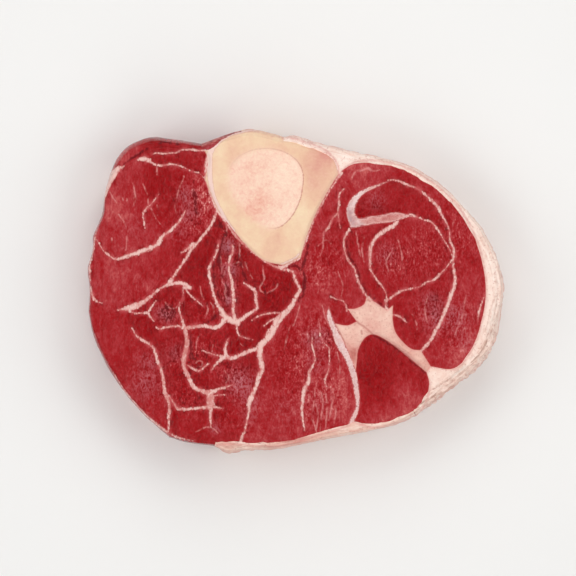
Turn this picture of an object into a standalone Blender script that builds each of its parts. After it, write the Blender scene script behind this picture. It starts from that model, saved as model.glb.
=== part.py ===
"""A raw beef hindshank, cross cut: one slice of the lower leg, sawn straight across, lying on its cut face.

The slice is a map of cells. Each muscle, tendon and body of fat, the shin bone and the marrow in it
run through the slice from one cut face to the other, so each is an upright solid of its own.
Neighbours share one route, and each keeps half of the gap from it.
Lengths are in millimetres here and become metres when a mesh is made. +Z is up, and the lower
cut face is at Z = 0.
"""

import bmesh
import bpy
import numpy as np
from mathutils import Matrix

# Driving sizes of the slice, in millimetres
THICKNESS = 26.5
GAP = 0.3
POINT_SPACING = 3.2

# The side bulges: it is drawn in by SIDE_TUCK at both cut faces, fading out TUCK_REACH inside the slice
SIDE_TUCK = 1.3
TUCK_REACH = 8.0
BELLY_LOW = 0.32
BELLY_HIGH = 0.72

# Where the side slopes out further below the upper face: the place, the tuck's increase there, the reach
SLOPES = (((-62.0, 58.0), 1.3, 16.0), ((76.0, -26.0), 0.9, 24.0))

# Each cell's rounded edges: how far its faces are drawn in, over what height, and the tuck below them
CROWN_INSET = 0.5
CROWN_DROP = 1.2
CROWN_SHARE = 0.6
FOOT_INSET = 0.4
FOOT_RISE = 0.6
FOOT_SHARE = 0.7

# A cell inside the slice has upright walls, so it needs only these of the rings
UPRIGHT_RINGS = (0, 1, 4, 5)

# The sharpest edge that is shaded smooth, in radians, and the longest mitre at a pointed corner
SHARP_ANGLE = 0.6
LONGEST_MITRE = 2.6

MM = 0.001

# Where three cells meet, or where a seam comes out at the side: X to the right, Y to the shin bone
JUNCTIONS = {
    "notch": (-37.6, 59.4),
    "left_high": (-74.4, 47.0),
    "left_mid": (-81.2, 22.2),
    "left_low": (-83.2, -8.2),
    "foot_left": (-50.4, -59.0),
    "foot_mid": (-32.4, -62.6),
    "foot_right": (48.8, -50.2),
    "bone_high": (-36.0, 44.6),
    "bone_left": (-30.8, 32.2),
    "bone_tip": (-4.4, 10.2),
    "bone_neck": (2.4, 13.4),
    "bone_corner": (17.6, 46.6),
    "bone_crest": (-4.4, 62.2),
    "fork_high": (-41.6, 48.2),
    "fork_low": (-43.6, 31.8),
    "fork_left": (-67.2, -7.8),
    "fork_foot": (-21.6, -61.4),
    "neck": (20.8, 14.2),
    "hook_root": (22.4, 25.0),
    "hook_tip": (38.4, 44.2),
    "hook_arm": (47.2, 30.2),
    "far_fork": (63.2, 13.4),
    "pad_top": (28.8, -2.4),
    "pad_notch": (36.8, -7.8),
    "pad_side": (39.2, -5.8),
    "lobe_top": (21.2, -7.2),
    "lobe_right": (24.8, -12.2),
    "lobe_left": (17.0, -12.0),
    "strip_tip": (13.6, -6.2),
    "strip_waist": (24.8, -29.4),
    "strip_foot": (21.2, -54.0),
    "strip_heel": (23.6, -52.6),
    "band_high": (50.4, -23.8),
    "band_low": (54.4, -30.2),
    "band_end": (52.8, -32.6),
}

# The skin side of the slice, from junction to junction round the outside
OUTSIDE = {
    "notch left_high": [(-49.6, 61.4), (-58.0, 62.2), (-66.5, 58.8), (-71.6, 53.4)],
    "left_high left_mid": [(-76.8, 38.5), (-77.6, 31.0)],
    "left_mid left_low": [(-81.6, 16.0), (-83.4, 9.0), (-82.8, 0.6)],
    "left_low foot_left": [(-80.6, -19.4), (-72.4, -35.4), (-63.2, -47.4), (-56.4, -53.8)],
    "foot_left foot_mid": [(-43.6, -61.0)],
    "foot_mid foot_right": [
        (-26.8, -65.2), (-17.6, -63.8), (-5.6, -63.4), (13.6, -59.6), (28.0, -57.0), (40.0, -53.8),
    ],
    "foot_right bone_crest": [
        (62.0, -39.8), (72.0, -32.0), (78.4, -24.2), (82.4, -12.2), (84.0, 0.6), (82.0, 12.0),
        (75.2, 25.4), (63.2, 39.0), (50.4, 48.2), (39.6, 52.6), (24.4, 56.0), (9.6, 59.6), (0.4, 62.6),
    ],
    "bone_crest notch": [(-9.6, 63.6), (-17.6, 65.2), (-23.6, 64.2), (-31.2, 61.8)],
}

# The seams between the cells
SEAMS = {
    "left_high fork_high": [(-66.5, 50.8), (-60.0, 53.0), (-55.5, 50.8), (-47.5, 50.6)],
    "fork_high bone_high": [],
    "fork_high fork_low": [(-45.0, 41.0), (-45.2, 35.5)],
    "left_mid fork_low": [(-76.5, 16.5), (-71.2, 13.0), (-63.0, 14.4), (-54.8, 19.0), (-48.8, 25.0)],
    "bone_left fork_left": [
        (-37.8, 20.0), (-42.8, 13.2), (-47.6, 6.6), (-51.2, 1.4), (-56.0, -1.0), (-60.0, -4.6),
    ],
    "fork_left left_low": [(-76.0, -8.4)],
    "fork_left foot_left": [
        (-64.2, -15.5), (-58.8, -21.0), (-54.8, -25.0), (-53.2, -31.0), (-51.8, -40.0), (-49.8, -46.0),
    ],
    "bone_tip fork_foot": [
        (0.2, 7.6), (2.8, 0.8), (-1.6, -6.0), (-7.0, -13.0), (-13.6, -22.2), (-12.4, -31.4),
        (-15.6, -39.4), (-18.2, -47.4),
    ],
    "foot_mid fork_foot": [(-28.6, -61.2)],
    "fork_foot strip_foot": [(-12.0, -62.2), (-3.0, -61.6), (4.0, -59.2), (11.0, -57.2)],
    "bone_neck neck": [(11.0, 12.6)],
    "neck hook_root": [(19.6, 21.2)],
    "neck pad_top": [(21.8, 10.0), (25.4, 3.6)],
    "pad_top pad_notch": [],
    "pad_notch pad_side": [],
    "pad_top lobe_top": [(27.6, -5.4), (24.4, -7.0)],
    "lobe_top lobe_right": [],
    "lobe_right lobe_left": [(21.0, -13.8)],
    "strip_tip lobe_top": [(17.4, -3.6)],
    "strip_tip lobe_left": [],
    "strip_tip strip_foot": [
        (13.4, -12.0), (15.4, -18.0), (19.0, -25.0), (21.8, -33.4), (24.0, -43.4), (23.8, -49.4),
    ],
    "lobe_left strip_waist": [(19.2, -16.8), (22.6, -23.4)],
    "strip_waist strip_heel": [(26.2, -36.0), (27.0, -43.4), (26.2, -48.8)],
    "strip_foot strip_heel": [],
    "strip_waist band_end": [(25.4, -24.0), (28.0, -18.8), (32.6, -17.4), (38.6, -20.2), (46.0, -26.2)],
    "band_end foot_right": [(54.0, -38.0), (52.4, -44.6)],
    "foot_right strip_heel": [(42.4, -52.4), (32.0, -54.6)],
    "pad_side band_high": [(39.2, -12.0), (40.8, -17.4), (46.0, -22.8)],
    "band_high band_low": [],
    "band_low band_end": [],
    "bone_corner band_low": [
        (20.0, 49.0), (26.4, 52.0), (39.6, 51.0), (53.6, 44.4), (65.6, 33.4), (73.4, 18.6), (76.6, 0.4),
        (74.0, -15.4), (69.2, -26.0), (63.6, -31.2),
    ],
    "hook_root hook_tip": [(20.8, 31.0), (22.8, 37.0), (28.4, 41.2)],
    "hook_tip hook_arm": [(29.6, 38.8), (25.4, 34.0), (25.6, 29.4), (32.0, 30.2), (40.0, 31.4)],
    "hook_arm hook_root": [(40.0, 27.8), (32.0, 26.8)],
    "hook_tip far_fork": [(45.0, 42.4), (54.0, 37.0), (61.0, 26.0)],
    "hook_arm far_fork": [(54.0, 27.0), (60.0, 20.5)],
    "hook_arm pad_notch": [(35.6, 23.6), (31.6, 17.6), (30.8, 11.0), (33.0, 4.4), (36.2, -1.6)],
    "far_fork pad_side": [(57.2, 5.0), (46.8, 0.2)],
    "far_fork band_high": [(63.4, 0.2), (59.6, -10.0), (56.4, -17.4)],
    "bone_high notch": [(-34.8, 52.5)],
    "bone_left bone_high": [(-33.6, 38.5)],
    "bone_tip bone_left": [(-12.8, 12.4), (-20.4, 19.2), (-27.0, 27.5)],
    "bone_neck bone_tip": [],
    "bone_corner bone_neck": [(14.8, 42.4), (8.8, 31.4), (4.6, 21.0)],
    "bone_crest bone_corner": [(3.0, 60.0), (11.4, 56.8), (16.6, 51.6)],
}

# Each cell's junctions in order round it
CELLS = {
    "muscle_extensor": "notch left_high fork_high bone_high",
    "muscle_shin_side": "left_high left_mid fork_low fork_high",
    "muscle_flank": "left_mid left_low fork_left bone_left bone_high fork_high fork_low",
    "muscle_heel": "left_low foot_left fork_left",
    "muscle_centre": "bone_left fork_left foot_left foot_mid fork_foot bone_tip",
    "muscle_calf": "bone_tip fork_foot strip_foot strip_tip lobe_top pad_top neck bone_neck",
    "muscle_outer_band": "bone_neck neck hook_root hook_tip far_fork band_high band_low bone_corner",
    "muscle_hook": "hook_tip hook_arm far_fork",
    "muscle_strap": "neck pad_top pad_notch hook_arm hook_root",
    "muscle_mid": "hook_arm pad_notch pad_side far_fork",
    "muscle_inner_band": "far_fork pad_side band_high",
    "muscle_round": "strip_waist strip_heel foot_right band_end",
    "muscle_lobe": "strip_tip lobe_left lobe_right lobe_top",
    "tendon_hook": "hook_root hook_arm hook_tip",
    "tendon_strip": "strip_tip strip_foot strip_heel strip_waist lobe_left",
    "fat_rim": "bone_crest bone_corner band_low band_end foot_right",
    "fat_pad": "pad_top lobe_top lobe_right lobe_left strip_waist band_end "
    "band_low band_high pad_side pad_notch",
    "fat_foot": "foot_mid foot_right strip_heel strip_foot fork_foot",
}

BONE_OUTLINE = "notch bone_high bone_left bone_tip bone_neck bone_corner bone_crest"

# The marrow is an egg seen from above, blunt at the top and leaning to the right at its foot
MARROW_CENTRE = (-11.6, 41.0)
MARROW_HALF_WIDTH = 14.6
MARROW_HALF_HEIGHT = 16.0
MARROW_TAPER = 0.26
MARROW_LEAN = 0.16
MARROW_POINTS = 40

# How far each kind of tissue stands above (+) or below (-) the plane of the cut
STAND = {"muscle": 0.0, "tendon": 0.2, "fat": 0.4, "bone": 0.8, "marrow": 0.5}

# The upper cut face of soft meat doesn't lie quite flat: its slow waves along X and Y
SWELL = 0.5
SWELL_LENGTHS = (28.0, 34.0)
SWELL_PHASES = (0.6, -0.4)

# Base colour and roughness of each kind of tissue
LOOKS = {
    "muscle": ((0.42, 0.02, 0.03, 1.0), 0.35),
    "tendon": ((0.62, 0.42, 0.40, 1.0), 0.40),
    "fat": ((0.86, 0.66, 0.54, 1.0), 0.45),
    "bone": ((0.83, 0.62, 0.40, 1.0), 0.50),
    "marrow": ((0.88, 0.62, 0.48, 1.0), 0.50),
}

ROUTES = {**OUTSIDE, **SEAMS}


def smooth_route(points, spacing):
    """Points about spacing apart on a Catmull-Rom curve through the given ones, both ends included."""
    p = np.array(points, float)
    before = np.vstack([2 * p[0] - p[1], p[:-1]])
    after = np.vstack([p[1:], 2 * p[-1] - p[-2]])
    sampled = []
    for i in range(len(p) - 1):
        steps = max(1, round(float(np.linalg.norm(p[i + 1] - p[i])) / spacing))
        t = np.arange(steps)[:, None] / steps
        start_pull = (after[i] - before[i]) / 2
        end_pull = (after[i + 1] - before[i + 1]) / 2
        sampled.append(
            (2 * t**3 - 3 * t**2 + 1) * p[i]
            + (t**3 - 2 * t**2 + t) * start_pull
            + (3 * t**2 - 2 * t**3) * p[i + 1]
            + (t**3 - t**2) * end_pull
        )
    return np.vstack([*sampled, p[-1:]])


def route_between(a, b):
    """The sampled route from junction a to junction b, whichever way round it is listed."""
    forward = f"{a} {b}"
    if forward in ROUTES:
        return smooth_route([JUNCTIONS[a], *ROUTES[forward], JUNCTIONS[b]], POINT_SPACING)
    return route_between(b, a)[::-1]


def loop_through(names):
    """The closed outline through these junctions, counter-clockwise, its first point not repeated."""
    stops = names.split()
    sides = [route_between(a, b)[:-1] for a, b in zip(stops, stops[1:] + stops[:1])]
    outline = np.vstack(sides)
    x, y = outline.T
    area = np.sum(x * np.roll(y, -1) - y * np.roll(x, -1))
    return outline if area > 0 else outline[::-1]


def inward(outline):
    """The inward mitre at each point: moving along it by 1 moves both sides that meet there by 1."""
    side = np.roll(outline, -1, axis=0) - outline
    side /= np.linalg.norm(side, axis=1)[:, None]
    normal = np.stack([-side[:, 1], side[:, 0]], axis=1)
    total = normal + np.roll(normal, 1, axis=0)
    length = np.linalg.norm(total, axis=1)[:, None]
    return total / length * np.minimum(2 / length, LONGEST_MITRE)


def tuck(points, rim, depth, sloping):
    """Points drawn in from the slice's side by depth at the rim itself, fading out TUCK_REACH inside it."""
    away = np.linalg.norm(points[:, None] - rim[None], axis=2)
    nearest = away.argmin(axis=1)
    fade = np.clip(1 - away.min(axis=1) / TUCK_REACH, 0, 1) ** 2
    slope = np.ones(len(points))
    if sloping:
        for place, increase, reach in SLOPES:
            slope += increase * np.exp(-((np.linalg.norm(points - place, axis=1) / reach) ** 2))
    return points + inward(rim)[nearest] * (depth * slope * fade)[:, None]


def swell(points):
    """The height of the upper face's waves: a sine along X times a cosine along Y."""
    x, y = (points / SWELL_LENGTHS + SWELL_PHASES).T
    return SWELL * np.sin(x) * np.cos(y)


def levels(stand):
    """Each ring of a cell as (height, whether it follows the upper face, inset, tuck)."""
    top = THICKNESS + stand
    return [
        (0.0, False, FOOT_INSET, SIDE_TUCK),
        (FOOT_RISE, False, 0.0, FOOT_SHARE * SIDE_TUCK),
        (BELLY_LOW * THICKNESS, False, 0.0, 0.0),
        (BELLY_HIGH * THICKNESS, False, 0.0, 0.0),
        (top - CROWN_DROP, True, 0.0, CROWN_SHARE * SIDE_TUCK),
        (top, True, CROWN_INSET, SIDE_TUCK),
    ]


def rings_of(outline, rim, stand):
    """The stacked rings of one outline, each drawn in by half the gap. A hole's outline runs clockwise."""
    wall = outline + inward(outline) * GAP / 2
    rings = []
    for height, is_upper, inset, depth in levels(stand):
        flat = tuck(wall + inward(wall) * inset, rim, depth, sloping=is_upper)
        rings.append(np.column_stack([flat, height + is_upper * swell(flat)]))
    return rings


def distance_to(outline, rim):
    """How near the outline comes to the slice's side, in millimetres."""
    return np.linalg.norm(outline[:, None] - rim[None], axis=2).min()


def add_cell(name, outlines, rim, collection):
    """One named solid: a flat face inside its outlines, extruded from ring to ring up to the cut face."""
    stacks = [rings_of(outline, rim, STAND[name.split("_")[0]]) for outline in outlines]
    rings = [np.vstack(level) for level in zip(*stacks)]
    if distance_to(outlines[0], rim) > TUCK_REACH:
        rings = [rings[index] for index in UPRIGHT_RINGS]

    work = bmesh.new()
    place = work.verts.layers.int.new("place")
    start = 0
    for outline in outlines:
        loop = [work.verts.new(point) for point in rings[0][start : start + len(outline)] * MM]
        for index, vertex in enumerate(loop):
            vertex[place] = start + index
            work.edges.new((loop[index - 1], vertex))
        start += len(outline)
    region = bmesh.ops.triangle_fill(work, use_beauty=True, edges=work.edges[:])["geom"]
    for ring in rings[1:]:
        region = bmesh.ops.extrude_face_region(work, geom=region)["geom"]
        for item in region:
            if isinstance(item, bmesh.types.BMVert):
                item.co = ring[item[place]] * MM
    bmesh.ops.recalc_face_normals(work, faces=work.faces[:])
    if work.calc_volume(signed=True) < 0:
        bmesh.ops.reverse_faces(work, faces=work.faces[:])

    mesh = bpy.data.meshes.new(name)
    work.to_mesh(mesh)
    work.free()
    mesh.shade_smooth()
    mesh.set_sharp_from_angle(angle=SHARP_ANGLE)
    mesh.materials.append(tissue_material(name))
    part = bpy.data.objects.new(name, mesh)
    collection.objects.link(part)
    return part


def tissue_material(name):
    """A material in the tissue's own colour and roughness."""
    colour, roughness = LOOKS[name.split("_")[0]]
    material = bpy.data.materials.new(name)
    material.use_nodes = True
    surface = material.node_tree.nodes["Principled BSDF"]
    surface.inputs["Base Color"].default_value = colour
    surface.inputs["Roughness"].default_value = roughness
    surface.inputs["Metallic"].default_value = 0.0
    return material


def marrow_outline():
    """An ellipse that narrows and leans towards its foot."""
    turn = np.linspace(0, 2 * np.pi, MARROW_POINTS, endpoint=False)
    across, along = np.cos(turn), np.sin(turn)
    width = MARROW_HALF_WIDTH * (1 + MARROW_TAPER * along)
    lean = MARROW_LEAN * MARROW_HALF_HEIGHT * np.minimum(along, 0)
    return np.column_stack([across * width - lean, MARROW_HALF_HEIGHT * along]) + MARROW_CENTRE


def centre_on_origin(parts):
    """Moves the meshes so that the origin is under the middle of the slice's box."""
    corners = np.array([part.bound_box[corner] for part in parts for corner in (0, 6)])
    middle = (corners.min(axis=0) + corners.max(axis=0)) / 2
    for part in parts:
        part.data.transform(Matrix.Translation((-middle[0], -middle[1], 0)))


def main():
    for old in list(bpy.data.objects):
        bpy.data.objects.remove(old, do_unlink=True)
    collection = bpy.data.collections.new("beef_shank")
    bpy.context.scene.collection.children.link(collection)

    rim = np.vstack([route_between(*names.split())[:-1] for names in OUTSIDE])
    marrow = marrow_outline()
    outlines = {name: [loop_through(stops)] for name, stops in CELLS.items()}
    outlines["bone"] = [loop_through(BONE_OUTLINE), marrow[::-1]]
    outlines["marrow"] = [marrow]
    centre_on_origin([add_cell(name, loops, rim, collection) for name, loops in outlines.items()])


main()
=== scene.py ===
# %% [markdown]
# # A raw beef shank, cross cut
# A butcher saws the lower leg straight across, so each cut face shows every muscle of the leg end-on, with
# the shin bone near one edge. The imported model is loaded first: it fixes the size and the place of every
# piece.

import bpy
import numpy as np
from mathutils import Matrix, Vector, geometry


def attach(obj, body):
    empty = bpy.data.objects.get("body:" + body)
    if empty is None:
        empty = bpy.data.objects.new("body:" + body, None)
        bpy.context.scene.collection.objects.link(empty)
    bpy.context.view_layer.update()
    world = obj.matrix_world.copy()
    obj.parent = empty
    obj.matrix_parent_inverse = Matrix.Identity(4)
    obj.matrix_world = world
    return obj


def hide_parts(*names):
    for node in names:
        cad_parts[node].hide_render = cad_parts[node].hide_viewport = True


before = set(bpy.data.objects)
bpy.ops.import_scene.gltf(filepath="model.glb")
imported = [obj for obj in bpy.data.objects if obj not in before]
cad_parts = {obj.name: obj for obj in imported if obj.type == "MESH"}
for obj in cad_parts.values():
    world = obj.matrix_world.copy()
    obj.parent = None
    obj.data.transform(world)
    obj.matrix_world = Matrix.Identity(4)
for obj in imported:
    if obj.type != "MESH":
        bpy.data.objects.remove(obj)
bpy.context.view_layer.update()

MM = 0.001


# %% [markdown]
# ## The map of the cut
# The slice is a map of cells, and a cell is one muscle, one tendon, one body of fat or the bone. The same
# map made the solids, so it is written here again: junctions where cells meet, and the routes between them,
# in millimetres with X to the right and Y towards the shin bone. Both neighbours read one route, so they
# can't drift apart. The hook-shaped tendon and the long one are drawn up to 1.5 mm narrower here than in
# the solids, as they are seen.

# %% Junctions of the map, in millimetres
JUNCTIONS = {
    "notch": (-37.6, 59.4), "left_high": (-74.4, 47.0), "left_mid": (-81.2, 22.2),
    "left_low": (-83.2, -8.2), "foot_left": (-50.4, -59.0), "foot_mid": (-32.4, -62.6),
    "foot_right": (48.8, -50.2), "bone_high": (-36.0, 44.6), "bone_left": (-30.8, 32.2),
    "bone_tip": (-4.4, 10.2), "bone_neck": (2.4, 13.4), "bone_corner": (17.6, 46.6),
    "bone_crest": (-4.4, 62.2), "fork_high": (-41.6, 48.2), "fork_low": (-43.6, 31.8),
    "fork_left": (-67.2, -7.8), "fork_foot": (-21.6, -61.4), "neck": (20.8, 14.2),
    "hook_root": (22.4, 25.0), "hook_tip": (38.4, 44.2), "hook_arm": (47.2, 30.2),
    "far_fork": (63.2, 13.4), "pad_top": (28.8, -2.4), "pad_notch": (36.8, -7.8),
    "pad_side": (39.2, -5.8), "lobe_top": (21.2, -7.2), "lobe_right": (24.8, -12.2),
    "lobe_left": (16.0, -13.0), "strip_tip": (13.6, -6.2), "strip_waist": (24.4, -31.6),
    "strip_foot": (21.2, -54.0), "strip_heel": (23.6, -52.6), "band_high": (50.4, -23.8),
    "band_low": (54.4, -30.2), "band_end": (52.8, -32.6),
}

# %% Routes round the outside and between the cells
OUTSIDE = {
    "notch left_high": [(-49.6, 61.4), (-58.0, 62.2), (-66.5, 58.8), (-71.6, 53.4)],
    "left_high left_mid": [(-76.8, 38.5), (-77.6, 31.0)],
    "left_mid left_low": [(-81.6, 16.0), (-83.4, 9.0), (-82.8, 0.6)],
    "left_low foot_left": [(-80.6, -19.4), (-72.4, -35.4), (-63.2, -47.4), (-56.4, -53.8)],
    "foot_left foot_mid": [(-43.6, -61.0)],
    "foot_mid foot_right": [(-26.8, -65.2), (-17.6, -63.8), (-5.6, -63.4), (13.6, -59.6), (28.0, -57.0),
        (40.0, -53.8)],
    "foot_right bone_crest": [(62.0, -39.8), (72.0, -32.0), (78.4, -24.2), (82.4, -12.2), (84.0, 0.6),
        (82.0, 12.0), (75.2, 25.4), (63.2, 39.0), (50.4, 48.2), (39.6, 52.6), (24.4, 56.0), (9.6, 59.6),
        (0.4, 62.6)],
    "bone_crest notch": [(-9.6, 63.6), (-17.6, 65.2), (-23.6, 64.2), (-31.2, 61.8)],
}
SEAMS = {
    "left_high fork_high": [(-66.5, 50.8), (-60.0, 53.0), (-55.5, 50.8), (-47.5, 50.6)],
    "fork_high bone_high": [],
    "fork_high fork_low": [(-45.0, 41.0), (-45.2, 35.5)],
    "left_mid fork_low": [(-76.5, 16.5), (-71.2, 13.0), (-63.0, 14.4), (-54.8, 19.0), (-48.8, 25.0)],
    "bone_left fork_left": [(-37.8, 20.0), (-42.8, 13.2), (-47.6, 6.6), (-51.2, 1.4), (-56.0, -1.0),
        (-60.0, -4.6)],
    "fork_left left_low": [(-76.0, -8.4)],
    "fork_left foot_left": [(-64.2, -15.5), (-58.8, -21.0), (-54.8, -25.0), (-53.2, -31.0),
        (-51.8, -40.0), (-49.8, -46.0)],
    "bone_tip fork_foot": [(0.2, 7.6), (2.8, 0.8), (-1.6, -6.0), (-7.0, -13.0), (-13.6, -22.2),
        (-12.4, -31.4), (-15.6, -39.4), (-18.2, -47.4)],
    "foot_mid fork_foot": [(-28.6, -61.2)],
    "fork_foot strip_foot": [(-12.0, -62.2), (-3.0, -61.6), (4.0, -59.2), (11.0, -57.2)],
    "bone_neck neck": [(11.0, 12.6)],
    "neck hook_root": [(19.6, 21.2)],
    "neck pad_top": [(21.8, 10.0), (25.4, 3.6)],
    "pad_top pad_notch": [],
    "pad_notch pad_side": [],
    "pad_top lobe_top": [(27.6, -5.4), (24.4, -7.0)],
    "lobe_top lobe_right": [],
    "lobe_right lobe_left": [(21.0, -13.8)],
    "strip_tip lobe_top": [(17.4, -3.6)],
    "strip_tip lobe_left": [(14.5, -9.0)],
    "strip_tip strip_foot": [(12.8, -10.4), (14.6, -15.8), (16.8, -22.2), (19.8, -27.0), (22.4, -34.0),
        (23.8, -41.0), (24.4, -46.0), (22.6, -50.4)],
    "lobe_left strip_waist": [(18.4, -18.0), (21.2, -23.6), (23.0, -28.0)],
    "strip_waist strip_heel": [(25.4, -37.0), (26.0, -43.4), (25.2, -49.0)],
    "strip_foot strip_heel": [],
    "strip_waist band_end": [(24.8, -28.0), (25.4, -23.4), (28.0, -18.8), (32.0, -17.4), (38.6, -21.0),
        (45.6, -26.6)],
    "band_end foot_right": [(54.0, -38.0), (52.4, -44.6)],
    "foot_right strip_heel": [(42.4, -52.4), (32.0, -54.6)],
    "pad_side band_high": [(39.2, -12.0), (40.8, -17.4), (46.0, -22.8)],
    "band_high band_low": [],
    "band_low band_end": [],
    "bone_corner band_low": [(20.0, 49.0), (26.4, 52.0), (39.6, 51.0), (53.6, 44.4), (65.6, 33.4),
        (73.4, 18.6), (76.6, 0.4), (74.0, -15.4), (69.2, -26.0), (63.6, -31.2)],
    "hook_root hook_tip": [(20.6, 31.2), (21.4, 34.8), (23.5, 38.0), (28.2, 41.0), (33.2, 42.7)],
    "hook_tip hook_arm": [(33.4, 41.8), (28.9, 39.7), (26.1, 37.4), (24.5, 34.4), (24.1, 31.4),
        (25.8, 29.0), (30.1, 29.9), (34.0, 30.3), (40.0, 31.4)],
    "hook_arm hook_root": [(40.0, 27.8), (32.0, 26.8)],
    "hook_tip far_fork": [(45.0, 42.4), (54.0, 37.0), (61.0, 26.0)],
    "hook_arm far_fork": [(54.0, 27.0), (60.0, 20.5)],
    "hook_arm pad_notch": [(35.6, 23.6), (31.6, 17.6), (30.8, 11.0), (33.0, 4.4), (36.2, -1.6)],
    "far_fork pad_side": [(57.2, 5.0), (46.8, 0.2)],
    "far_fork band_high": [(63.4, 0.2), (59.6, -10.0), (56.4, -17.4)],
    "bone_high notch": [(-34.8, 52.5)],
    "bone_left bone_high": [(-33.6, 38.5)],
    "bone_tip bone_left": [(-12.8, 12.4), (-20.4, 19.2), (-27.0, 27.5)],
    "bone_neck bone_tip": [],
    "bone_corner bone_neck": [(14.8, 42.4), (8.8, 31.4), (4.6, 21.0)],
    "bone_crest bone_corner": [(3.0, 60.0), (11.4, 56.8), (16.6, 51.6)],
}

# %% The junctions round each cell
CELLS = {
    "muscle_extensor": "notch left_high fork_high bone_high",
    "muscle_shin_side": "left_high left_mid fork_low fork_high",
    "muscle_flank": "left_mid left_low fork_left bone_left bone_high fork_high fork_low",
    "muscle_heel": "left_low foot_left fork_left",
    "muscle_centre": "bone_left fork_left foot_left foot_mid fork_foot bone_tip",
    "muscle_calf": "bone_tip fork_foot strip_foot strip_tip lobe_top pad_top neck bone_neck",
    "muscle_outer_band": "bone_neck neck hook_root hook_tip far_fork band_high band_low bone_corner",
    "muscle_hook": "hook_tip hook_arm far_fork",
    "muscle_strap": "neck pad_top pad_notch hook_arm hook_root",
    "muscle_mid": "hook_arm pad_notch pad_side far_fork",
    "muscle_inner_band": "far_fork pad_side band_high",
    "muscle_round": "strip_waist strip_heel foot_right band_end",
    "muscle_lobe": "strip_tip lobe_left lobe_right lobe_top",
    "tendon_hook": "hook_root hook_arm hook_tip",
    "tendon_strip": "strip_tip strip_foot strip_heel strip_waist lobe_left",
    "fat_rim": "bone_crest bone_corner band_low band_end foot_right",
    "fat_pad": "pad_top lobe_top lobe_right lobe_left strip_waist band_end band_low band_high "
                "pad_side pad_notch",
    "fat_foot": "foot_mid foot_right strip_heel strip_foot fork_foot",
    "bone": "notch bone_high bone_left bone_tip bone_neck bone_corner bone_crest",
}
ROUTES = {**OUTSIDE, **SEAMS}
print(len(CELLS) + 1, "cells,", len(ROUTES), "routes")

# %% [markdown]
# ## Smooth outlines
# A route is a Catmull-Rom curve: it goes through every point that it is given, and at each one it runs
# parallel to the line between that point's neighbours. Straight lines would give corners that soft tissue
# never has.

# %% Outlines from the routes
OUTLINE_STEP = 0.35


def smooth_route(points, spacing):
    """Each stretch blends its ends by 2t³-3t²+1 and 3t²-2t³, and the pulls by t³-2t²+t and t³-t²."""
    p = np.array(points, float)
    before = np.vstack([2 * p[0] - p[1], p[:-1]])
    after = np.vstack([p[1:], 2 * p[-1] - p[-2]])
    pull = (after - before) / 2
    sampled = []
    for i in range(len(p) - 1):
        steps = max(1, round(float(np.linalg.norm((p[i + 1] - p[i])[:2])) / spacing))
        t = np.arange(steps)[:, None] / steps
        sampled.append((2 * t**3 - 3 * t**2 + 1) * p[i] + (t**3 - 2 * t**2 + t) * pull[i]
                       + (3 * t**2 - 2 * t**3) * p[i + 1] + (t**3 - t**2) * pull[i + 1])
    return np.vstack([*sampled, p[-1:]])


def route_between(a, b):
    """The route from junction a to junction b, whichever way round it is listed."""
    if f"{a} {b}" in ROUTES:
        return smooth_route([JUNCTIONS[a], *ROUTES[f"{a} {b}"], JUNCTIONS[b]], OUTLINE_STEP)
    return route_between(b, a)[::-1]


def loop_through(names):
    """The closed outline through these junctions, turned to run counter-clockwise by its signed area."""
    stops = names.split()
    outline = np.vstack([route_between(a, b)[:-1] for a, b in zip(stops, stops[1:] + stops[:1])])
    x, y = outline.T
    return outline if np.sum(x * np.roll(y, -1) - y * np.roll(x, -1)) > 0 else outline[::-1]


def inward(outline):
    """The unit normal to the left at each point of a closed outline, the mean of its two sides' normals."""
    side = np.roll(outline, -1, axis=0) - outline
    side /= np.linalg.norm(side, axis=1)[:, None]
    normal = np.stack([-side[:, 1], side[:, 0]], axis=1)
    total = normal + np.roll(normal, 1, axis=0)
    return total / np.linalg.norm(total, axis=1)[:, None]


MARROW_CENTRE, MARROW_HALF = (-11.6, 41.0), (14.6, 16.0)
MARROW_TAPER, MARROW_LEAN, MARROW_POINTS = 0.26, 0.16, 280


def marrow_outline():
    """An ellipse whose width is 1 + taper·sin(turn), and whose lower half leans to the right."""
    turn = np.linspace(0, 2 * np.pi, MARROW_POINTS, endpoint=False)
    across, along = np.cos(turn), np.sin(turn)
    lean = MARROW_LEAN * MARROW_HALF[1] * np.minimum(along, 0)
    return np.column_stack([across * MARROW_HALF[0] * (1 + MARROW_TAPER * along) - lean,
                            MARROW_HALF[1] * along]) + MARROW_CENTRE


RIM_PARTS = {names: route_between(*names.split())[:-1] for names in OUTSIDE}
RIM = np.vstack(list(RIM_PARTS.values()))
RIM_INWARD = inward(RIM)
PLAIN_FRAY = 0.9
FRAYED_PARTS = {"foot_right bone_crest": PLAIN_FRAY, "foot_mid foot_right": 0.6}
TORN_RIM = (
    ((60.0, -42.0), 16.0, 1.6), ((76.0, -24.0), 16.0, 1.3), ((82.0, 2.0), 14.0, 0.5),
    ((-20.0, -66.0), 12.0, 0.8),
)
RIM_FRAY = np.concatenate([
    np.full(len(part), FRAYED_PARTS.get(names, 0.0)) for names, part in RIM_PARTS.items()
])
for place, reach, amount in TORN_RIM:
    RIM_FRAY += amount * np.exp(-((np.linalg.norm(RIM - place, axis=1) / reach) ** 2))
MARROW = marrow_outline()
OUTLINES = {name: [loop_through(stops)] for name, stops in CELLS.items()}
OUTLINES["bone"].append(MARROW[::-1])
OUTLINES["marrow"] = [MARROW]
TO_FRAME = -(RIM.min(axis=0) + RIM.max(axis=0)) / 2
print("outside:", len(RIM), "points, box", np.ptp(RIM, axis=0).round(1), "mm, moved by", TO_FRAME.round(2))

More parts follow.
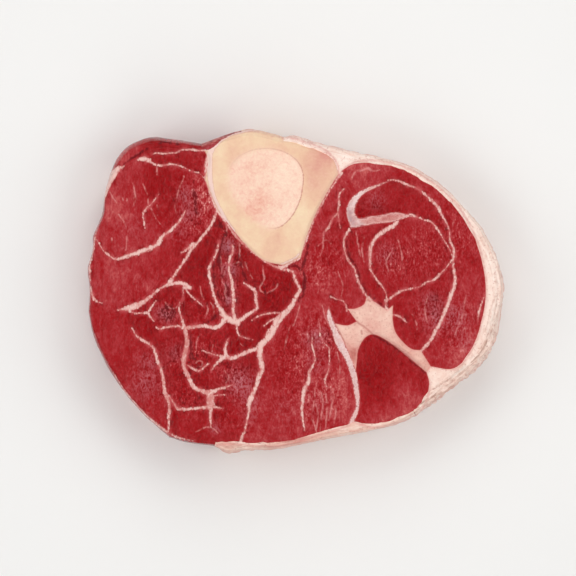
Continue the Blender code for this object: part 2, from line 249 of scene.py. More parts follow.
# %% [markdown]
# ## White seams and marbling
# Between the muscles run sheets of white connective tissue, and thinner sheets branch off into each muscle.
# On the cut they are lines that swell and thin out. Each is a list of points in a 576 pixel frame with its
# width there, which one function turns to millimetres. Lines are kept as lines, not painted, so that relief
# can follow them.

# %% From the frame's pixels to the map
PIXEL_MM, PIXEL_MIDDLE = 0.4, (294.75, 291.0)
LINE_STEP = 0.8


def place_of_pixel(x, y):
    """X and Y on the map: pixels from the middle, Y upwards, times the millimetres of a pixel."""
    return (x - PIXEL_MIDDLE[0]) * PIXEL_MM, (PIXEL_MIDDLE[1] - y) * PIXEL_MM


def line_from_pixels(points):
    """Each (x, y, width) in pixels becomes X, Y and half the width in millimetres, on a smooth route."""
    x, y, width = np.array(points, float).T
    return smooth_route(np.column_stack([*place_of_pixel(x, y), width * PIXEL_MM / 2]), LINE_STEP)


# %% White seams
WHITE_SEAMS = {
    "under_extensor": [(210, 149, 2.4), (200, 150.5, 1.6), (190, 149.5, 1.6), (181, 150, 1.5),
        (176, 152.5, 1.3), (165, 153.5, 1.2), (157, 153, 1), (152, 154, 0.4)],
    "over_shin_side": [(138, 159.5, 2), (144, 158.5, 5), (149, 160.5, 4), (151, 162, 2),
        (155, 164.5, 1.5), (163, 165.5, 1.8), (171, 164, 1.6), (180, 166, 1.2), (187, 169, 0.9),
        (192, 171.5, 0.8), (199, 173, 0.6), (204, 178, 0.4)],
    "left_patch": [(124, 166, 1), (117, 170, 6), (110, 178, 8), (107, 187, 6), (104, 196, 4),
        (102, 205, 2.5), (100, 215, 2), (97, 222, 1)],
    "left_edge_high": [(97, 226, 0.8), (95, 236, 2.4), (94, 246, 1.8), (92.5, 254, 1.4), (91, 261, 0.6)],
    "left_edge_mid": [(90.5, 258, 1.2), (89.5, 265, 2.2), (89.5, 274, 2), (90.5, 283, 1)],
    "left_edge_low": [(90.5, 286, 1.2), (91.5, 293, 2.4), (94, 299, 2.6), (98, 302, 1.2),
        (102, 303, 0.5)],
    "lower_left_edge": [(113, 372.5, 0.6), (122, 387.5, 1.6), (132.5, 401, 2.2), (142, 411.5, 2.6),
        (152, 420.5, 2.8), (162, 428.5, 2.6), (171, 434.5, 2), (182, 438.5, 1.2), (194, 441, 0.6)],
    "shin_to_flank": [(185, 211, 1.5), (182, 217, 2), (178, 223, 2.4), (173, 228, 3), (167, 233, 3.2),
        (161, 238, 4), (158, 244, 4.2), (150, 248, 4.5), (140, 252, 4.5), (130, 255, 4), (118, 259, 2.5),
        (113, 258, 2), (107, 254, 1.5), (103, 250, 1), (98, 242, 1), (93, 235, 0.5)],
    "shin_streak": [(159, 194, 0.5), (152, 203, 1.6), (146, 209, 2.2), (143, 214, 1.8), (144, 222, 1.4),
        (145, 228, 0.5)],
    "flank_to_centre": [(217, 210, 2), (214, 219, 2.4), (209, 228, 2.5), (203, 236, 2.3), (197, 243, 2.4),
        (190, 251, 2.6), (185, 260, 2.5), (180, 267, 2.4), (175, 274, 2.6), (170, 282, 3), (167, 285, 3)],
    "flank_fork": [(193, 243.5, 3), (187, 249, 2.6), (181, 253, 0.8)],
    "flank_foot": [(190, 288, 4), (184, 284, 4), (178, 283, 4), (172, 284, 3), (167, 285, 3),
        (163, 287, 2), (158, 290, 2), (152, 295, 2.5), (146, 300, 4), (140, 304, 5), (134, 306.5, 7),
        (127, 308.5, 5), (122, 309.5, 2.5), (117, 310, 0.8)],
    "foot_twig_long": [(184, 287, 1.6), (190, 295, 1.4), (196, 300, 1.3), (203, 306, 0.6)],
    "foot_twig_short": [(183, 287, 1.2), (183, 295, 1), (182, 303, 0.5)],
    "loop_high": [(128, 311, 1.5), (135, 313, 1.5), (142, 313, 1.5), (148, 312, 1.8), (152, 306, 1.6),
        (156, 301, 0.8)],
    "loop_low": [(148, 313, 2), (151, 318, 1.8), (154, 321, 1.2)],
    "loop_foot": [(156, 327, 1), (160, 329, 2), (165, 327.5, 2), (172, 326.5, 2.2), (179, 326, 2)],
    "cross_root": [(180, 302, 0.8), (179, 310, 1.2), (181, 316, 2), (183, 323, 2.6), (185, 328, 3.5)],
    "cross_bar": [(178, 326, 2), (185, 328, 3.6), (195, 326.5, 3.4), (205, 326, 3.2), (215, 327.5, 3.6),
        (220, 325.5, 4), (223, 321.5, 4.5), (226, 318, 5.5)],
    "cross_heart": [(221, 315, 3), (226, 317, 6), (232, 321, 6), (238, 323, 5.5)],
    "down_left": [(185, 328, 4), (186, 335, 3.6), (187, 342, 4), (186, 350, 5), (184, 358, 5),
        (184, 366, 4), (186, 372, 3.6), (189, 378, 3.6), (191, 383, 4), (195, 388, 4), (202, 391, 4),
        (207, 393, 4.6), (211, 396, 5)],
    "heel_to_centre": [(132, 328, 1), (135, 334, 1.6), (139, 338, 2), (144, 341, 2.6), (149, 344, 2.6),
        (154, 349, 2.6), (156, 355, 2.8), (158, 362, 2.8), (161, 369, 3), (163, 378, 3), (164, 386, 3),
        (165, 393, 3.6), (168, 399, 4), (169.5, 405, 2.6), (169, 414, 2.6), (168.5, 424, 2),
        (168, 438, 1.5)],
    "centre_to_calf": [(283, 269, 2), (288, 270, 2), (293, 272, 3), (295, 279, 3), (298, 285, 3),
        (300, 290, 3), (297, 295, 3.6), (294, 301, 4), (290, 308, 5), (284, 314, 6), (278, 320, 7),
        (274, 328, 7), (270, 336, 6.6), (264, 342, 6), (260, 347, 7), (260, 355, 6), (261, 362, 5),
        (262, 369, 5), (259, 376, 4.6), (257, 384, 3.6), (254, 391, 4), (251, 398, 5), (249, 404, 4),
        (249, 411, 2.6), (247, 420, 2.2), (245, 430, 2), (242, 437, 2.6), (240, 444, 3)],
    "calf_twig_high": [(252, 320, 0.8), (256, 317.5, 1.2), (262, 315, 1.6), (272, 313, 1.6),
        (280, 313, 1)],
    "calf_twig_mid": [(264, 326, 0.8), (270, 321, 1.6), (279, 317, 1.8)],
    "calf_twig_low": [(265, 337, 0.8), (268, 331, 1.6), (273, 326, 1.8)],
    "branch": [(260, 348, 3), (250, 351, 4), (245, 353, 3.6), (238, 356, 3.6), (232, 358, 4),
        (226, 357, 5)],
    "branch_up": [(226, 356, 4.4), (225, 350, 3), (226, 344, 2.6), (229, 338, 1.2)],
    "branch_left": [(223, 356.5, 2.4), (215, 355, 1.6), (209, 353, 1.5), (202, 350.5, 0.7)],
    "branch_down": [(223, 358, 3.4), (216, 364, 2), (211, 371, 0.8)],
    "curl": [(187, 365, 1.2), (190, 367, 1.6), (194, 369, 2), (199, 371, 2), (204, 367, 2),
        (209, 363.5, 1.2)],
    "star_heart": [(210, 393, 7), (210.5, 402, 8), (210, 407, 6)],
    "star_right": [(212, 392.5, 3.6), (219, 389, 2.6), (226, 387, 2), (233, 384.5, 0.8)],
    "star_right_low": [(213, 396, 1.6), (219, 395, 1.2), (226, 394.5, 0.6)],
    "star_left": [(209, 407, 4.4), (200, 408, 2.6), (190, 409, 2.4), (182, 409, 2.6), (177, 408, 2.4),
        (173, 402, 2), (169, 396, 2)],
    "star_down": [(211, 409, 3.4), (210.5, 418, 2.6), (211, 427, 1)],
    "star_tip": [(214, 407, 2.4), (223, 408.5, 0.7)],
    "inner_left": [(219, 241, 1), (217, 250, 2), (214, 258, 2), (211, 263, 2.2), (209, 270, 3),
        (210, 278, 2.6), (212, 288, 2.6), (214, 296, 2.6), (217, 303, 3), (221, 310, 4), (226, 318, 5)],
    "inner_right": [(232, 245, 1.4), (233, 251, 2.4), (230, 258, 2.6), (229, 265, 2), (229, 272, 2.2),
        (231.5, 280, 2.8), (232.5, 288, 3.2), (233.5, 296, 3.4), (233.5, 304, 3.4), (233, 312, 3.4),
        (235, 319, 4)],
    "hook_of_centre": [(244, 283, 1.4), (250, 287, 2.6), (255, 291, 3), (256, 300, 3), (257, 308, 3),
        (252, 312, 3), (247, 315, 3.6), (242, 319, 4), (236, 322, 5)],
    "heart_twig": [(236, 323, 2.6), (237, 330, 1.5), (240, 336, 1.2), (249, 339, 0.6)],
    "calf_to_strap": [(349, 230, 2.2), (346, 235, 2), (344, 239, 1.8), (344, 246, 1.8), (345, 252, 1.8),
        (347, 258, 1.8), (350, 263, 2), (354, 268, 2), (356, 274, 2), (358, 281, 2), (361, 287, 2.2),
        (364, 293, 2.2), (368, 297, 2), (373, 301, 1.6), (378, 305, 1.4), (382, 308, 1.4),
        (388, 309, 1.6)],
    "strap_to_mid": [(397, 222, 3.6), (393, 226, 4), (387, 229, 4), (380, 234, 4), (375, 239, 3.6),
        (371, 246, 3.6), (370, 253, 3.6), (370, 260, 3), (370, 268, 2), (373, 274, 1.5), (377, 280, 1.4),
        (382, 286, 1.6), (385, 291, 1.2), (387, 298, 1), (386, 305, 1)],
    "band_branch": [(344, 189, 1), (339, 195, 2), (339, 205, 2), (338, 212, 1.6), (339, 220, 1.2),
        (340, 228, 0.5)],
    "band_branch_left": [(338, 213, 1.6), (333, 218, 2), (330, 225, 2), (327, 229, 2.4), (325, 231.5, 1)],
    "pad_curl": [(388, 317, 2.6), (392, 315, 2), (398, 315.6, 2), (403, 319, 1.5), (406.5, 322.5, 0.7)],
    "band_to_inner": [(454, 287, 3), (453, 290, 4), (450, 298, 4), (447, 306, 3.6), (444, 314, 3.6),
        (441, 322, 3.4), (437, 328, 3.6), (433, 336, 3.4), (429, 342, 3), (424, 348, 3), (419, 354, 2)],
    "mid_to_inner": [(388, 300, 1), (392, 297, 2), (398, 292.5, 2.4), (404, 290, 2), (412, 288.5, 1.6)],
    "pad_to_mid": [(385, 300, 1), (386, 306, 2), (386, 314, 3), (388, 324, 3), (389, 331, 3)],
    "rim_thread": [(485, 294, 0.8), (481.5, 304, 1.6), (479, 312, 2.2), (477.5, 321, 0.8)],
    "lobe_thread": [(331, 297, 0.5), (338, 299.5, 0.9), (343, 301, 1.2), (346, 306, 1.4),
        (347, 311, 1.8)],
    "lower_streak": [(312, 337, 0.7), (312, 345, 1.4), (314, 352, 1.5), (315, 360, 1.6), (312.5, 366, 2),
        (309.5, 372, 3), (309, 380, 3.8), (305.5, 387, 4.2), (303.5, 394, 4), (302.5, 402, 3),
        (302, 412, 2.4), (303, 421, 1.8), (305, 431, 0.6)],
    "lower_streak_right": [(319, 331, 0.8), (321.5, 338, 1), (325, 344, 1), (329, 348, 1.2),
        (329.5, 357, 1.2), (328.5, 370, 1.3), (325, 380, 2), (327, 388, 0.8)],
    "bone_skin_left": [(213, 146, 2.6), (209, 152, 3), (207, 160, 3.4), (206, 170, 3.4),
        (206.5, 180, 2.6), (209, 190, 1.6), (213, 201, 2.6), (217, 208, 4), (220, 213, 4.6),
        (226, 222, 3)],
    "bone_skin_low": [(226, 222, 2.4), (236, 236, 2.2), (248, 248, 2), (262, 259, 2), (272, 265, 2.2),
        (280, 268.5, 2.4), (286, 270, 2.4)],
    "bone_foot_patch": [(278, 266.5, 1), (284, 267, 4), (288, 264, 2.6), (292, 262, 2.4), (296, 260, 2.4),
        (300, 257, 2), (302, 251, 1)],
    "bone_skin_right": [(302, 253, 1), (307, 238, 1.6), (314, 220, 1.6), (322, 204, 1.6), (330, 190, 1.6),
        (338, 178, 2.4), (341, 173, 4)],
    "hidden_band": [(388, 180, 0.6), (397, 180.5, 1.4), (408, 185, 2), (418, 189, 1.4), (429, 198, 2.4),
        (437, 206, 3), (443, 217, 2), (449, 229, 1.6), (450, 240, 1.8), (454, 252, 2.6), (453, 264, 2.2),
        (455, 276, 2.8), (454, 287, 3.4)],
    "hidden_hook": [(410, 215, 3), (417, 217, 2), (424, 220, 1.2), (431, 222, 1.6), (438, 230, 2),
        (444, 240, 1.2), (450, 250, 1), (453, 258, 1)],
    "hidden_mid": [(412, 288.5, 1.6), (420, 286.5, 1.2), (427, 282, 1.6), (434, 280, 2.2),
        (441, 273, 1.8), (446, 268, 1.2), (452, 260, 1.4)],
}
print(len(WHITE_SEAMS), "white seams")

# %% Faint streaks in the muscles, and creases with painted shade
FAINT_STREAKS = {
    "shin_1": [(133, 183, 0.8), (135, 195, 1.8), (134, 206, 1)],
    "shin_2": [(110, 192, 0.8), (113, 198, 1.4), (117, 203, 0.7)],
    "shin_3": [(121, 193, 0.7), (123, 200, 1)],
    "shin_4": [(143, 184, 0.8), (146, 191, 1)],
    "shin_5": [(157, 205, 1), (158, 216, 0.7)],
    "shin_6": [(128, 193, 0.7), (127, 201, 1)],
    "shin_7": [(147, 193, 0.8), (148, 201, 1.2), (149, 208, 0.7)],
    "shin_8": [(127, 236, 0.8), (126, 250, 0.9)],
    "shin_9": [(112, 238, 0.9), (111, 250, 0.8)],
    "shin_10": [(157, 166, 1), (157, 175, 0.8)],
    "shin_11": [(151, 208, 1), (155, 216, 1), (160, 224, 0.6)],
    "shin_12": [(118, 214, 0.7), (124, 222, 1), (128, 232, 0.6)],
    "flank_1": [(184, 176, 0.8), (179, 190, 1.4), (175, 204, 1.2), (176, 214, 0.6)],
    "centre_1": [(225, 221, 0.8), (227, 229, 1.6), (225, 236, 1.2)],
    "centre_2": [(237, 236, 1), (240, 247, 1.4), (239, 258, 1)],
    "centre_3": [(245, 262, 0.8), (247, 268, 1.5), (250, 274, 1.5), (254, 281, 1.5), (257, 287, 1)],
    "centre_4": [(263, 263, 0.8), (263, 270, 1.4), (264, 280, 1.4), (260, 287, 1.4), (261, 291, 1.5),
        (266, 293, 1.5), (271, 291, 1.5), (276, 288, 1.3), (277, 284, 0.8)],
    "centre_5": [(220, 255, 0.8), (222, 268, 1.4), (221, 280, 0.8)],
    "centre_6": [(225, 271, 0.8), (222, 281, 1.4), (226, 287, 1.2), (224.6, 293, 1), (227, 299, 0.8)],
    "centre_7": [(233, 264, 0.7), (240, 262, 1), (243, 268, 0.6)],
    "centre_8": [(196, 349, 0.7), (197, 341, 1), (199, 335, 0.6)],
    "centre_9": [(196, 363, 0.8), (199, 360.5, 1.2), (202.5, 362, 1.2), (202, 366, 1.2), (198, 367, 0.8)],
    "centre_10": [(213, 345, 0.7), (212, 352, 0.9)],
    "centre_11": [(204, 300, 1), (201, 292, 1), (200, 286, 0.6)],
    "centre_12": [(165, 302, 0.8), (170, 308, 1.2), (176, 308, 1.2), (180, 302, 0.8)],
    "centre_13": [(196, 432, 0.6), (200, 430, 1), (207, 427, 1.6), (214, 429, 1.2), (218, 433, 0.6)],
    "centre_14": [(210, 302, 0.6), (214, 308, 1.6), (213, 316, 1.2)],
    "centre_15": [(243, 346, 0.7), (238, 341, 1.2), (240, 334, 1.2)],
    "centre_16": [(242, 336, 1), (250, 339, 1.2), (254, 340, 0.6)],
    "centre_17": [(224, 370, 0.8), (229, 377, 1.4), (226, 383, 0.8)],
    "centre_18": [(154, 290, 0.6), (151, 297, 1), (149, 303, 0.6)],
    "centre_19": [(205, 318, 0.8), (208, 310, 1.4), (206, 303, 0.8)],
    "calf_1": [(324, 231, 1.2), (323, 240, 1.5), (323, 248, 1.2), (320, 256, 0.7)],
    "calf_2": [(322, 305, 0.8), (325, 316, 1.4), (330, 326, 1)],
    "calf_3": [(318, 318, 0.6), (320, 328, 1), (319, 336, 0.6)],
    "calf_4": [(290, 326, 0.7), (287, 338, 1.2), (284, 350, 0.7)],
    "calf_5": [(300, 304, 0.6), (297, 316, 1), (293, 326, 0.6)],
    "calf_6": [(321, 392, 0.8), (323, 404, 1.4), (321, 418, 1.4), (320, 432, 0.8)],
    "calf_7": [(315, 388, 0.6), (314, 402, 1.2), (311, 420, 0.9)],
    "calf_8": [(331, 388, 0.6), (332, 402, 1.2), (329, 420, 1)],
    "calf_9": [(337, 352, 0.6), (340, 366, 1), (339, 380, 0.6)],
    "calf_10": [(326, 394, 0.8), (327, 410, 1.2), (325, 432, 0.8)],
    "calf_11": [(313, 420, 1), (317, 434, 1.2)],
    "calf_13": [(306, 388, 1), (309, 394, 1.4), (308, 402, 0.8)],
    "calf_14": [(334, 396, 0.8), (336, 408, 1.4), (334, 424, 1)],
    "calf_15": [(316, 404, 0.8), (318, 416, 1.4), (316, 430, 1)],
    "calf_12": [(309, 342, 1), (307, 332, 1), (309, 326, 0.6)],
    "strap_1": [(356, 232, 0.7), (358, 244, 1.2), (360, 256, 0.8)],
    "strap_2": [(364, 236, 0.6), (362, 250, 1.1), (364, 262, 0.6)],
    "mid_1": [(391, 252, 0.6), (386, 262, 1), (389, 272, 0.6)],
    "mid_2": [(398, 240, 0.6), (402, 256, 1.1), (400, 270, 0.6)],
    "inner_1": [(428, 296, 0.6), (425, 310, 1.2), (427, 322, 0.6)],
    "inner_2": [(412, 314, 0.6), (417, 326, 1), (415, 336, 0.6)],
    "outer_1": [(466, 296, 0.7), (462, 316, 1.2), (455, 334, 0.8)],
    "outer_2": [(350, 160, 0.6), (360, 152, 1), (376, 150, 0.7)],
    "outer_3": [(318, 246, 0.6), (326, 240, 1.1), (331, 244, 0.6)],
    "outer_4": [(338, 272, 0.7), (343, 286, 1), (341, 296, 0.6)],
    "hook_hair": [(352, 177.5, 1.2), (356, 171.5, 2), (362, 170.5, 1.6), (368, 168.5, 2), (373, 171, 1.6),
        (380, 170, 0.8)],
}
BONE_FILM = {
    "red_film": [(200, 146, 6), (207, 145.5, 8), (212, 143.2, 7.5), (217, 140, 5.4), (222, 137, 4.2),
        (228, 134.2, 3), (234, 132.4, 1.8), (241, 130.8, 0.6)],
}
BONE_SKIN = {
    "left": [(229, 136, 1.4), (222, 140, 1.8), (216, 145, 3), (211.5, 150, 4.2), (209.5, 157, 5),
        (209.5, 167, 4.6), (210, 177, 4), (211.5, 187, 3.4), (214.5, 197, 2.6), (219, 207, 2.2),
        (225, 218, 2), (234, 231, 1.6)],
    "tip": [(281, 264.3, 0.2), (286, 262.5, 0.8), (291, 260.2, 1.2), (296, 257.2, 1),
        (299.5, 253.5, 0.4)],
    "top": [(229, 135.6, 1.2), (238, 132.6, 1.6), (248, 130.6, 1.6), (258, 129.6, 0.8)],
    "right": [(284, 134, 0.8), (292, 134.5, 3), (302, 138, 3.4), (312, 142.5, 3), (322, 148, 2.6),
        (330, 154, 2), (336, 162, 1.6), (338, 170, 1.2)],
}
PAD_VEINS = {
    "vein_long": [(354, 320, 0.8), (359, 323.5, 1.4), (364, 326.5, 1.6), (369, 331, 1.4),
        (373, 334, 0.8)],
    "vein_dot": [(361.5, 331, 1.2), (362, 334, 1)],
    "vein_dot_high": [(368, 300, 1.6), (370, 301, 1.2)],
    "vein_strip": [(335, 324, 0.8), (341, 335, 1.2), (345, 344, 0.8)],
}
# Crease lines: the form is lowered a little along them, and the materials paint them dark as the shade in
# folds and beside seams.
CREASES_WITH_PAINTED_SHADE = {
    "extensor_fold": [(121, 167, 0.6), (128, 161, 1.2), (136, 155.5, 1.3), (143, 151, 0.9),
        (149, 147.5, 0.4)],
    "extensor_fold_top": [(157, 144, 0.3), (163, 142, 0.9), (171, 143, 0.9), (180, 145, 0.3)],
    "pad_fold": [(373, 335.5, 0.8), (381, 338.5, 1.4), (388, 342.5, 2), (396, 347.5, 2.2),
        (404, 353.5, 2), (412, 361, 1.6), (419, 367, 1.8), (425, 372.5, 1)],
    "inner_dark": [(214, 262, 0.8), (213.5, 275, 2), (216, 288, 1.6), (220, 300, 1)],
    "inner_dark_mid": [(225, 232, 0.8), (222.5, 240, 2), (220, 250, 1.4), (218, 258, 1.8),
        (220, 270, 1.2)],
    "inner_dark_low": [(222, 276, 0.8), (226, 284, 1.6), (228, 293, 1.4), (227, 303, 0.8)],
    "tip_dark": [(220, 222, 0.8), (222.5, 228, 1.6), (226, 233, 1)],
    "right_of_inner": [(237, 252, 0.8), (240, 262, 1.6), (243, 272, 1.6), (247, 281, 0.8)],
    "over_cross": [(208, 322, 0.8), (214, 318, 1.6), (218, 312, 1.2)],
    "speckle_dark": [(163, 310, 0.6), (168, 306, 1.2), (173, 311, 1), (170, 318, 1.2), (164, 315, 0.6)],
    "flank_dark": [(193, 190, 0.8), (196, 199, 1.8), (194, 208, 1.4), (198, 216, 1)],
    "left_of_seam": [(190, 335, 0.8), (190.5, 345, 1.8), (190, 356, 1.4), (190, 362, 0.8)],
    "curl_dark": [(193, 361, 0.8), (191.5, 365, 1.4), (196, 368, 1.6), (202, 368, 1.2)],
    "calf_edge": [(303, 272, 1), (305, 282, 1.8), (303, 292, 1.6), (299, 302, 1)],
    "beside_tip": [(289, 266.5, 2), (294, 265.5, 2.8), (299, 268, 2.2), (301, 275, 1)],
    "under_hook": [(388, 220, 1), (378, 221, 1.4), (366, 224, 1.2), (356, 228, 0.8)],
    "strap_fold": [(346.5, 240, 1), (347, 250, 1), (350.5, 259.5, 1.2), (356.5, 268, 1.2),
        (359.5, 280, 1), (366, 292.5, 1.2)],
    "strap_foot": [(369, 294.5, 0.8), (373.5, 297.5, 2), (378, 302, 1.2), (383, 306.5, 2), (387, 308, 1)],
    "band_fold": [(301.5, 270, 0.8), (305, 258, 1.4), (307, 248, 1.2), (311, 236, 0.8)],
}
print(len(FAINT_STREAKS), "faint streaks,", len(CREASES_WITH_PAINTED_SHADE), "creases")

# %% [markdown]
# ## How far a point is from a line
# Every finish here asks one question: how many millimetres is this point from the edge of the nearest seam?
# The answer is stored on the mesh as an attribute, and the material turns it into colour with a ragged
# edge. Painting an image would do as well, but it would fix the detail to one resolution.

# %% Distances
def in_strips(points, count=1500):
    """Indices of the points in strips along Y, so that each strip is near only a few of the lines."""
    return np.array_split(np.argsort(points[:, 1]), len(points) // count + 1)


def distance_to_lines(points, lines, reach):
    """Distance to the nearest segment of any line, less its half width there; never more than reach."""
    start = np.vstack([line[:-1] for line in lines])
    step = np.vstack([np.diff(line, axis=0) for line in lines])
    margin = reach + np.maximum(start[:, 2:], start[:, 2:] + step[:, 2:])
    low = np.minimum(start, start + step)[:, :2] - margin
    high = np.maximum(start, start + step)[:, :2] + margin
    nearest = np.full(len(points), float(reach))
    for strip in in_strips(points):
        p = points[strip]
        near = ((low < p.max(axis=0)) & (high > p.min(axis=0))).all(axis=1)
        if near.any():
            (x, y, half), (across, up, growth) = start[near].T, step[near].T
            x, y = p[:, :1] - x, p[:, 1:] - y
            along = np.clip((x * across + y * up) / (across**2 + up**2), 0, 1)
            away = np.sqrt((x - along * across) ** 2 + (y - along * up) ** 2) - half - along * growth
            nearest[strip] = np.minimum(nearest[strip], away.min(axis=1))
    return nearest


def nearest_of(points, others, reach):
    """Which of the other points is nearest to each point, and how far it is, as far as reach."""
    index, away = np.zeros(len(points), int), np.full(len(points), float(reach))
    for strip in in_strips(points):
        p = points[strip]
        close = (others > p.min(axis=0) - reach) & (others < p.max(axis=0) + reach)
        near = np.flatnonzero(close.all(axis=1))
        if len(near):
            square = (p[:, :1] - others[near, 0]) ** 2 + (p[:, 1:] - others[near, 1]) ** 2
            index[strip] = near[square.argmin(axis=1)]
            away[strip] = np.minimum(np.sqrt(square.min(axis=1)), reach)
    return index, away


def as_line(outline, width=0.0):
    """A closed outline as a line of one half width."""
    closed = np.vstack([outline, outline[:1]])
    return np.column_stack([closed, np.full(len(closed), width)])


def is_inside(points, outline):
    """Even-odd rule: inside is where a ray to the right crosses the outline an odd number of times."""
    ahead = np.roll(outline, -1, axis=0)
    inside = np.zeros(len(points), bool)
    for strip in in_strips(points):
        x, y = points[strip, :1], points[strip, 1:]
        low, high = np.minimum(outline, ahead)[:, 1], np.maximum(outline, ahead)[:, 1]
        level = (low <= y.max()) & (high >= y.min())
        (x1, y1), (x2, y2) = outline[level].T, ahead[level].T
        crosses = (y1 > y) != (y2 > y)
        at = x1 + (y - y1) * (x2 - x1) / np.where(y1 == y2, 1, y2 - y1)
        inside[strip] = (crosses & (x < at)).sum(axis=1) % 2 == 1
    return inside


def ease(value):
    """0 below 0, 1 above 1, and 3t²-2t³ between."""
    t = np.clip(value, 0, 1)
    return t * t * (3 - 2 * t)


LATTICE = 64


def wavy(points, length, seed):
    """Seeded random heights from -1 to 1 on a lattice length apart, blended by 3t²-2t³ both ways."""
    table = np.random.default_rng(seed).uniform(-1, 1, (LATTICE, LATTICE))
    low = np.floor(points / length).astype(int)
    across, along = ease(points / length - low).T
    i, j = (low % LATTICE).T
    i2, j2 = (i + 1) % LATTICE, (j + 1) % LATTICE
    near = table[i, j] * (1 - across) + table[i2, j] * across
    far = table[i, j2] * (1 - across) + table[i2, j2] * across
    return near * (1 - along) + far * along


# %% [markdown]
# ## The form of the slice
# Meat isn't sawn as flat as wood. Once the knife and saw have passed, each muscle swells a little between
# the seams that hold it, and bone, which doesn't give, stays proud of it. The side bulges, and is round at
# both edges. All of this is one set of functions of the place on the map, so where two pieces meet they
# give one height.

# %% Sizes of the form, in millimetres
THICKNESS = 26.5
SIDE_TUCK, TUCK_REACH, TUCK_POWER = 1.3, 10.0, 3.2
WIDEST_AT, RIM_INSET = 0.52, 0.2
SLOPES = (((-62.0, 58.0), 1.3, 16.0), ((76.0, -26.0), 0.9, 24.0))
CROWN_ROUND, FOOT_ROUND = 0.9, 0.5
SWELL, SWELL_LENGTHS, SWELL_PHASES = 0.5, (28.0, 34.0), (0.6, -0.4)
BULGE, BULGE_REACH = 0.5, 2.2
STAND = {"muscle": 0.0, "tendon": 0.2, "fat": 0.35, "bone": 0.7, "marrow": 0.6}
STAND_EDGE = {"muscle": 1.0, "tendon": 1.2, "fat": 1.8, "bone": 1.4}
CREASE_DEPTH, CREASE_WIDTH = 0.35, 0.55
FOOT_WAVE = 0.12
SEAM_REACH = 4.0

SEAM_SET = [line_from_pixels(points) for points in WHITE_SEAMS.values()]
STREAK_SET = [line_from_pixels(points) for points in FAINT_STREAKS.values()]
CREASE_SET = [line_from_pixels(points) for points in CREASES_WITH_PAINTED_SHADE.values()]
FILM_SET = [line_from_pixels(points) for points in BONE_FILM.values()]
SKIN_SET = [line_from_pixels(points) for points in BONE_SKIN.values()]
VEIN_SET = [line_from_pixels(points) for points in PAD_VEINS.values()]
FIRM_SET = [as_line(OUTLINES[name][0]) for name in OUTLINES if not name.startswith("muscle")]
BONE_SET = [as_line(OUTLINES["bone"][0])]


def drawn_in(points, height, is_upper, rounding):
    """Points moved in from the rim by tuck·|2(h - widest)|^power·slope and more, times (1 - d/reach)²."""
    index, away = nearest_of(points, RIM, TUCK_REACH)
    slope = np.ones(len(points))
    if is_upper:
        for place, increase, reach in SLOPES:
            slope += increase * np.exp(-((np.linalg.norm(points - place, axis=1) / reach) ** 2))
    shifted = points + np.array([0.7, 1.3]) * height * THICKNESS
    waves = 0.2 * wavy(shifted, 7.0, 21) + 0.1 * wavy(shifted, 2.4, 22)
    flaps = 0.4 * wavy(shifted, 5.0, 23) + 0.35 * wavy(shifted, 1.9, 24)
    tuck = SIDE_TUCK * abs(2 * height - 2 * WIDEST_AT) ** TUCK_POWER * slope
    depth = tuck + rounding + waves + RIM_FRAY[index] * flaps + RIM_INSET
    towards = points - RIM[index] + 0.6 * RIM_INWARD[index]
    towards /= np.linalg.norm(towards, axis=1)[:, None]
    fade = np.clip(1 - away / TUCK_REACH, 0, 1) ** 2
    return points + towards * (depth * fade)[:, None]


def upper_face(points):
    """Thickness + swell + bulge·(1 - e^(-d/reach)) between seams + waves - creases, at points of the map."""
    x, y = (points / SWELL_LENGTHS + SWELL_PHASES).T
    seam = np.maximum(distance_to_lines(points, SEAM_SET, SEAM_REACH), 0)
    firm = distance_to_lines(points, FIRM_SET, SEAM_REACH)
    crease = distance_to_lines(points, CREASE_SET, SEAM_REACH)
    bone = distance_to_lines(points, BONE_SET, SEAM_REACH)
    on_bone = is_inside(points, OUTLINES["bone"][0]) * ease(bone / 1.5)
    waves = 0.22 * wavy(points, 13.0, 11) + 0.12 * wavy(points, 4.2, 12) + 0.05 * wavy(points, 1.3, 13)
    bulge = BULGE * (1 - np.exp(-np.minimum(seam, firm) / BULGE_REACH))
    groove = CREASE_DEPTH * np.exp(-((np.maximum(crease, 0) / CREASE_WIDTH) ** 2))
    return THICKNESS + SWELL * np.sin(x) * np.cos(y) + (waves + bulge) * (1 - on_bone) - groove


def stand_of(tissue, points, outlines):
    """How far a firm tissue stands proud, eased in from its outline; bone steps down to the marrow."""
    if tissue == "marrow":
        return np.full(len(points), STAND[tissue])
    own = distance_to_lines(points, [as_line(outlines[0])], 3.0)
    proud = STAND[tissue] * ease(own / STAND_EDGE[tissue])
    if tissue == "bone":
        hole = distance_to_lines(points, [as_line(MARROW)], 3.0)
        proud = np.minimum(proud, STAND["marrow"] + (STAND["bone"] - STAND["marrow"]) * ease(hole / 0.8))
    return proud


# %% [markdown]
# ## One closed piece for each cell
# A piece is a stack of rings from the lower face to the upper one, closed by two sheets. A sheet is a field
# of points, 0.33 mm apart on the upper face, which is fine enough that relief is real, and 0.6 mm below.
# Blender's own Delaunay routine stitches it to the outline. A grid of squares cut to the outline would
# leave steps along every seam.

# %% The rings of a wall
TOP_STEP, FOOT_STEP = 0.33, 0.6
UPRIGHT = [(0.0, 0.0), (0.03, 0.0), (0.97, 0.0), (1.0, 0.0)]
HAIR_GAP = 0.03
SHARP_ANGLE = 0.8


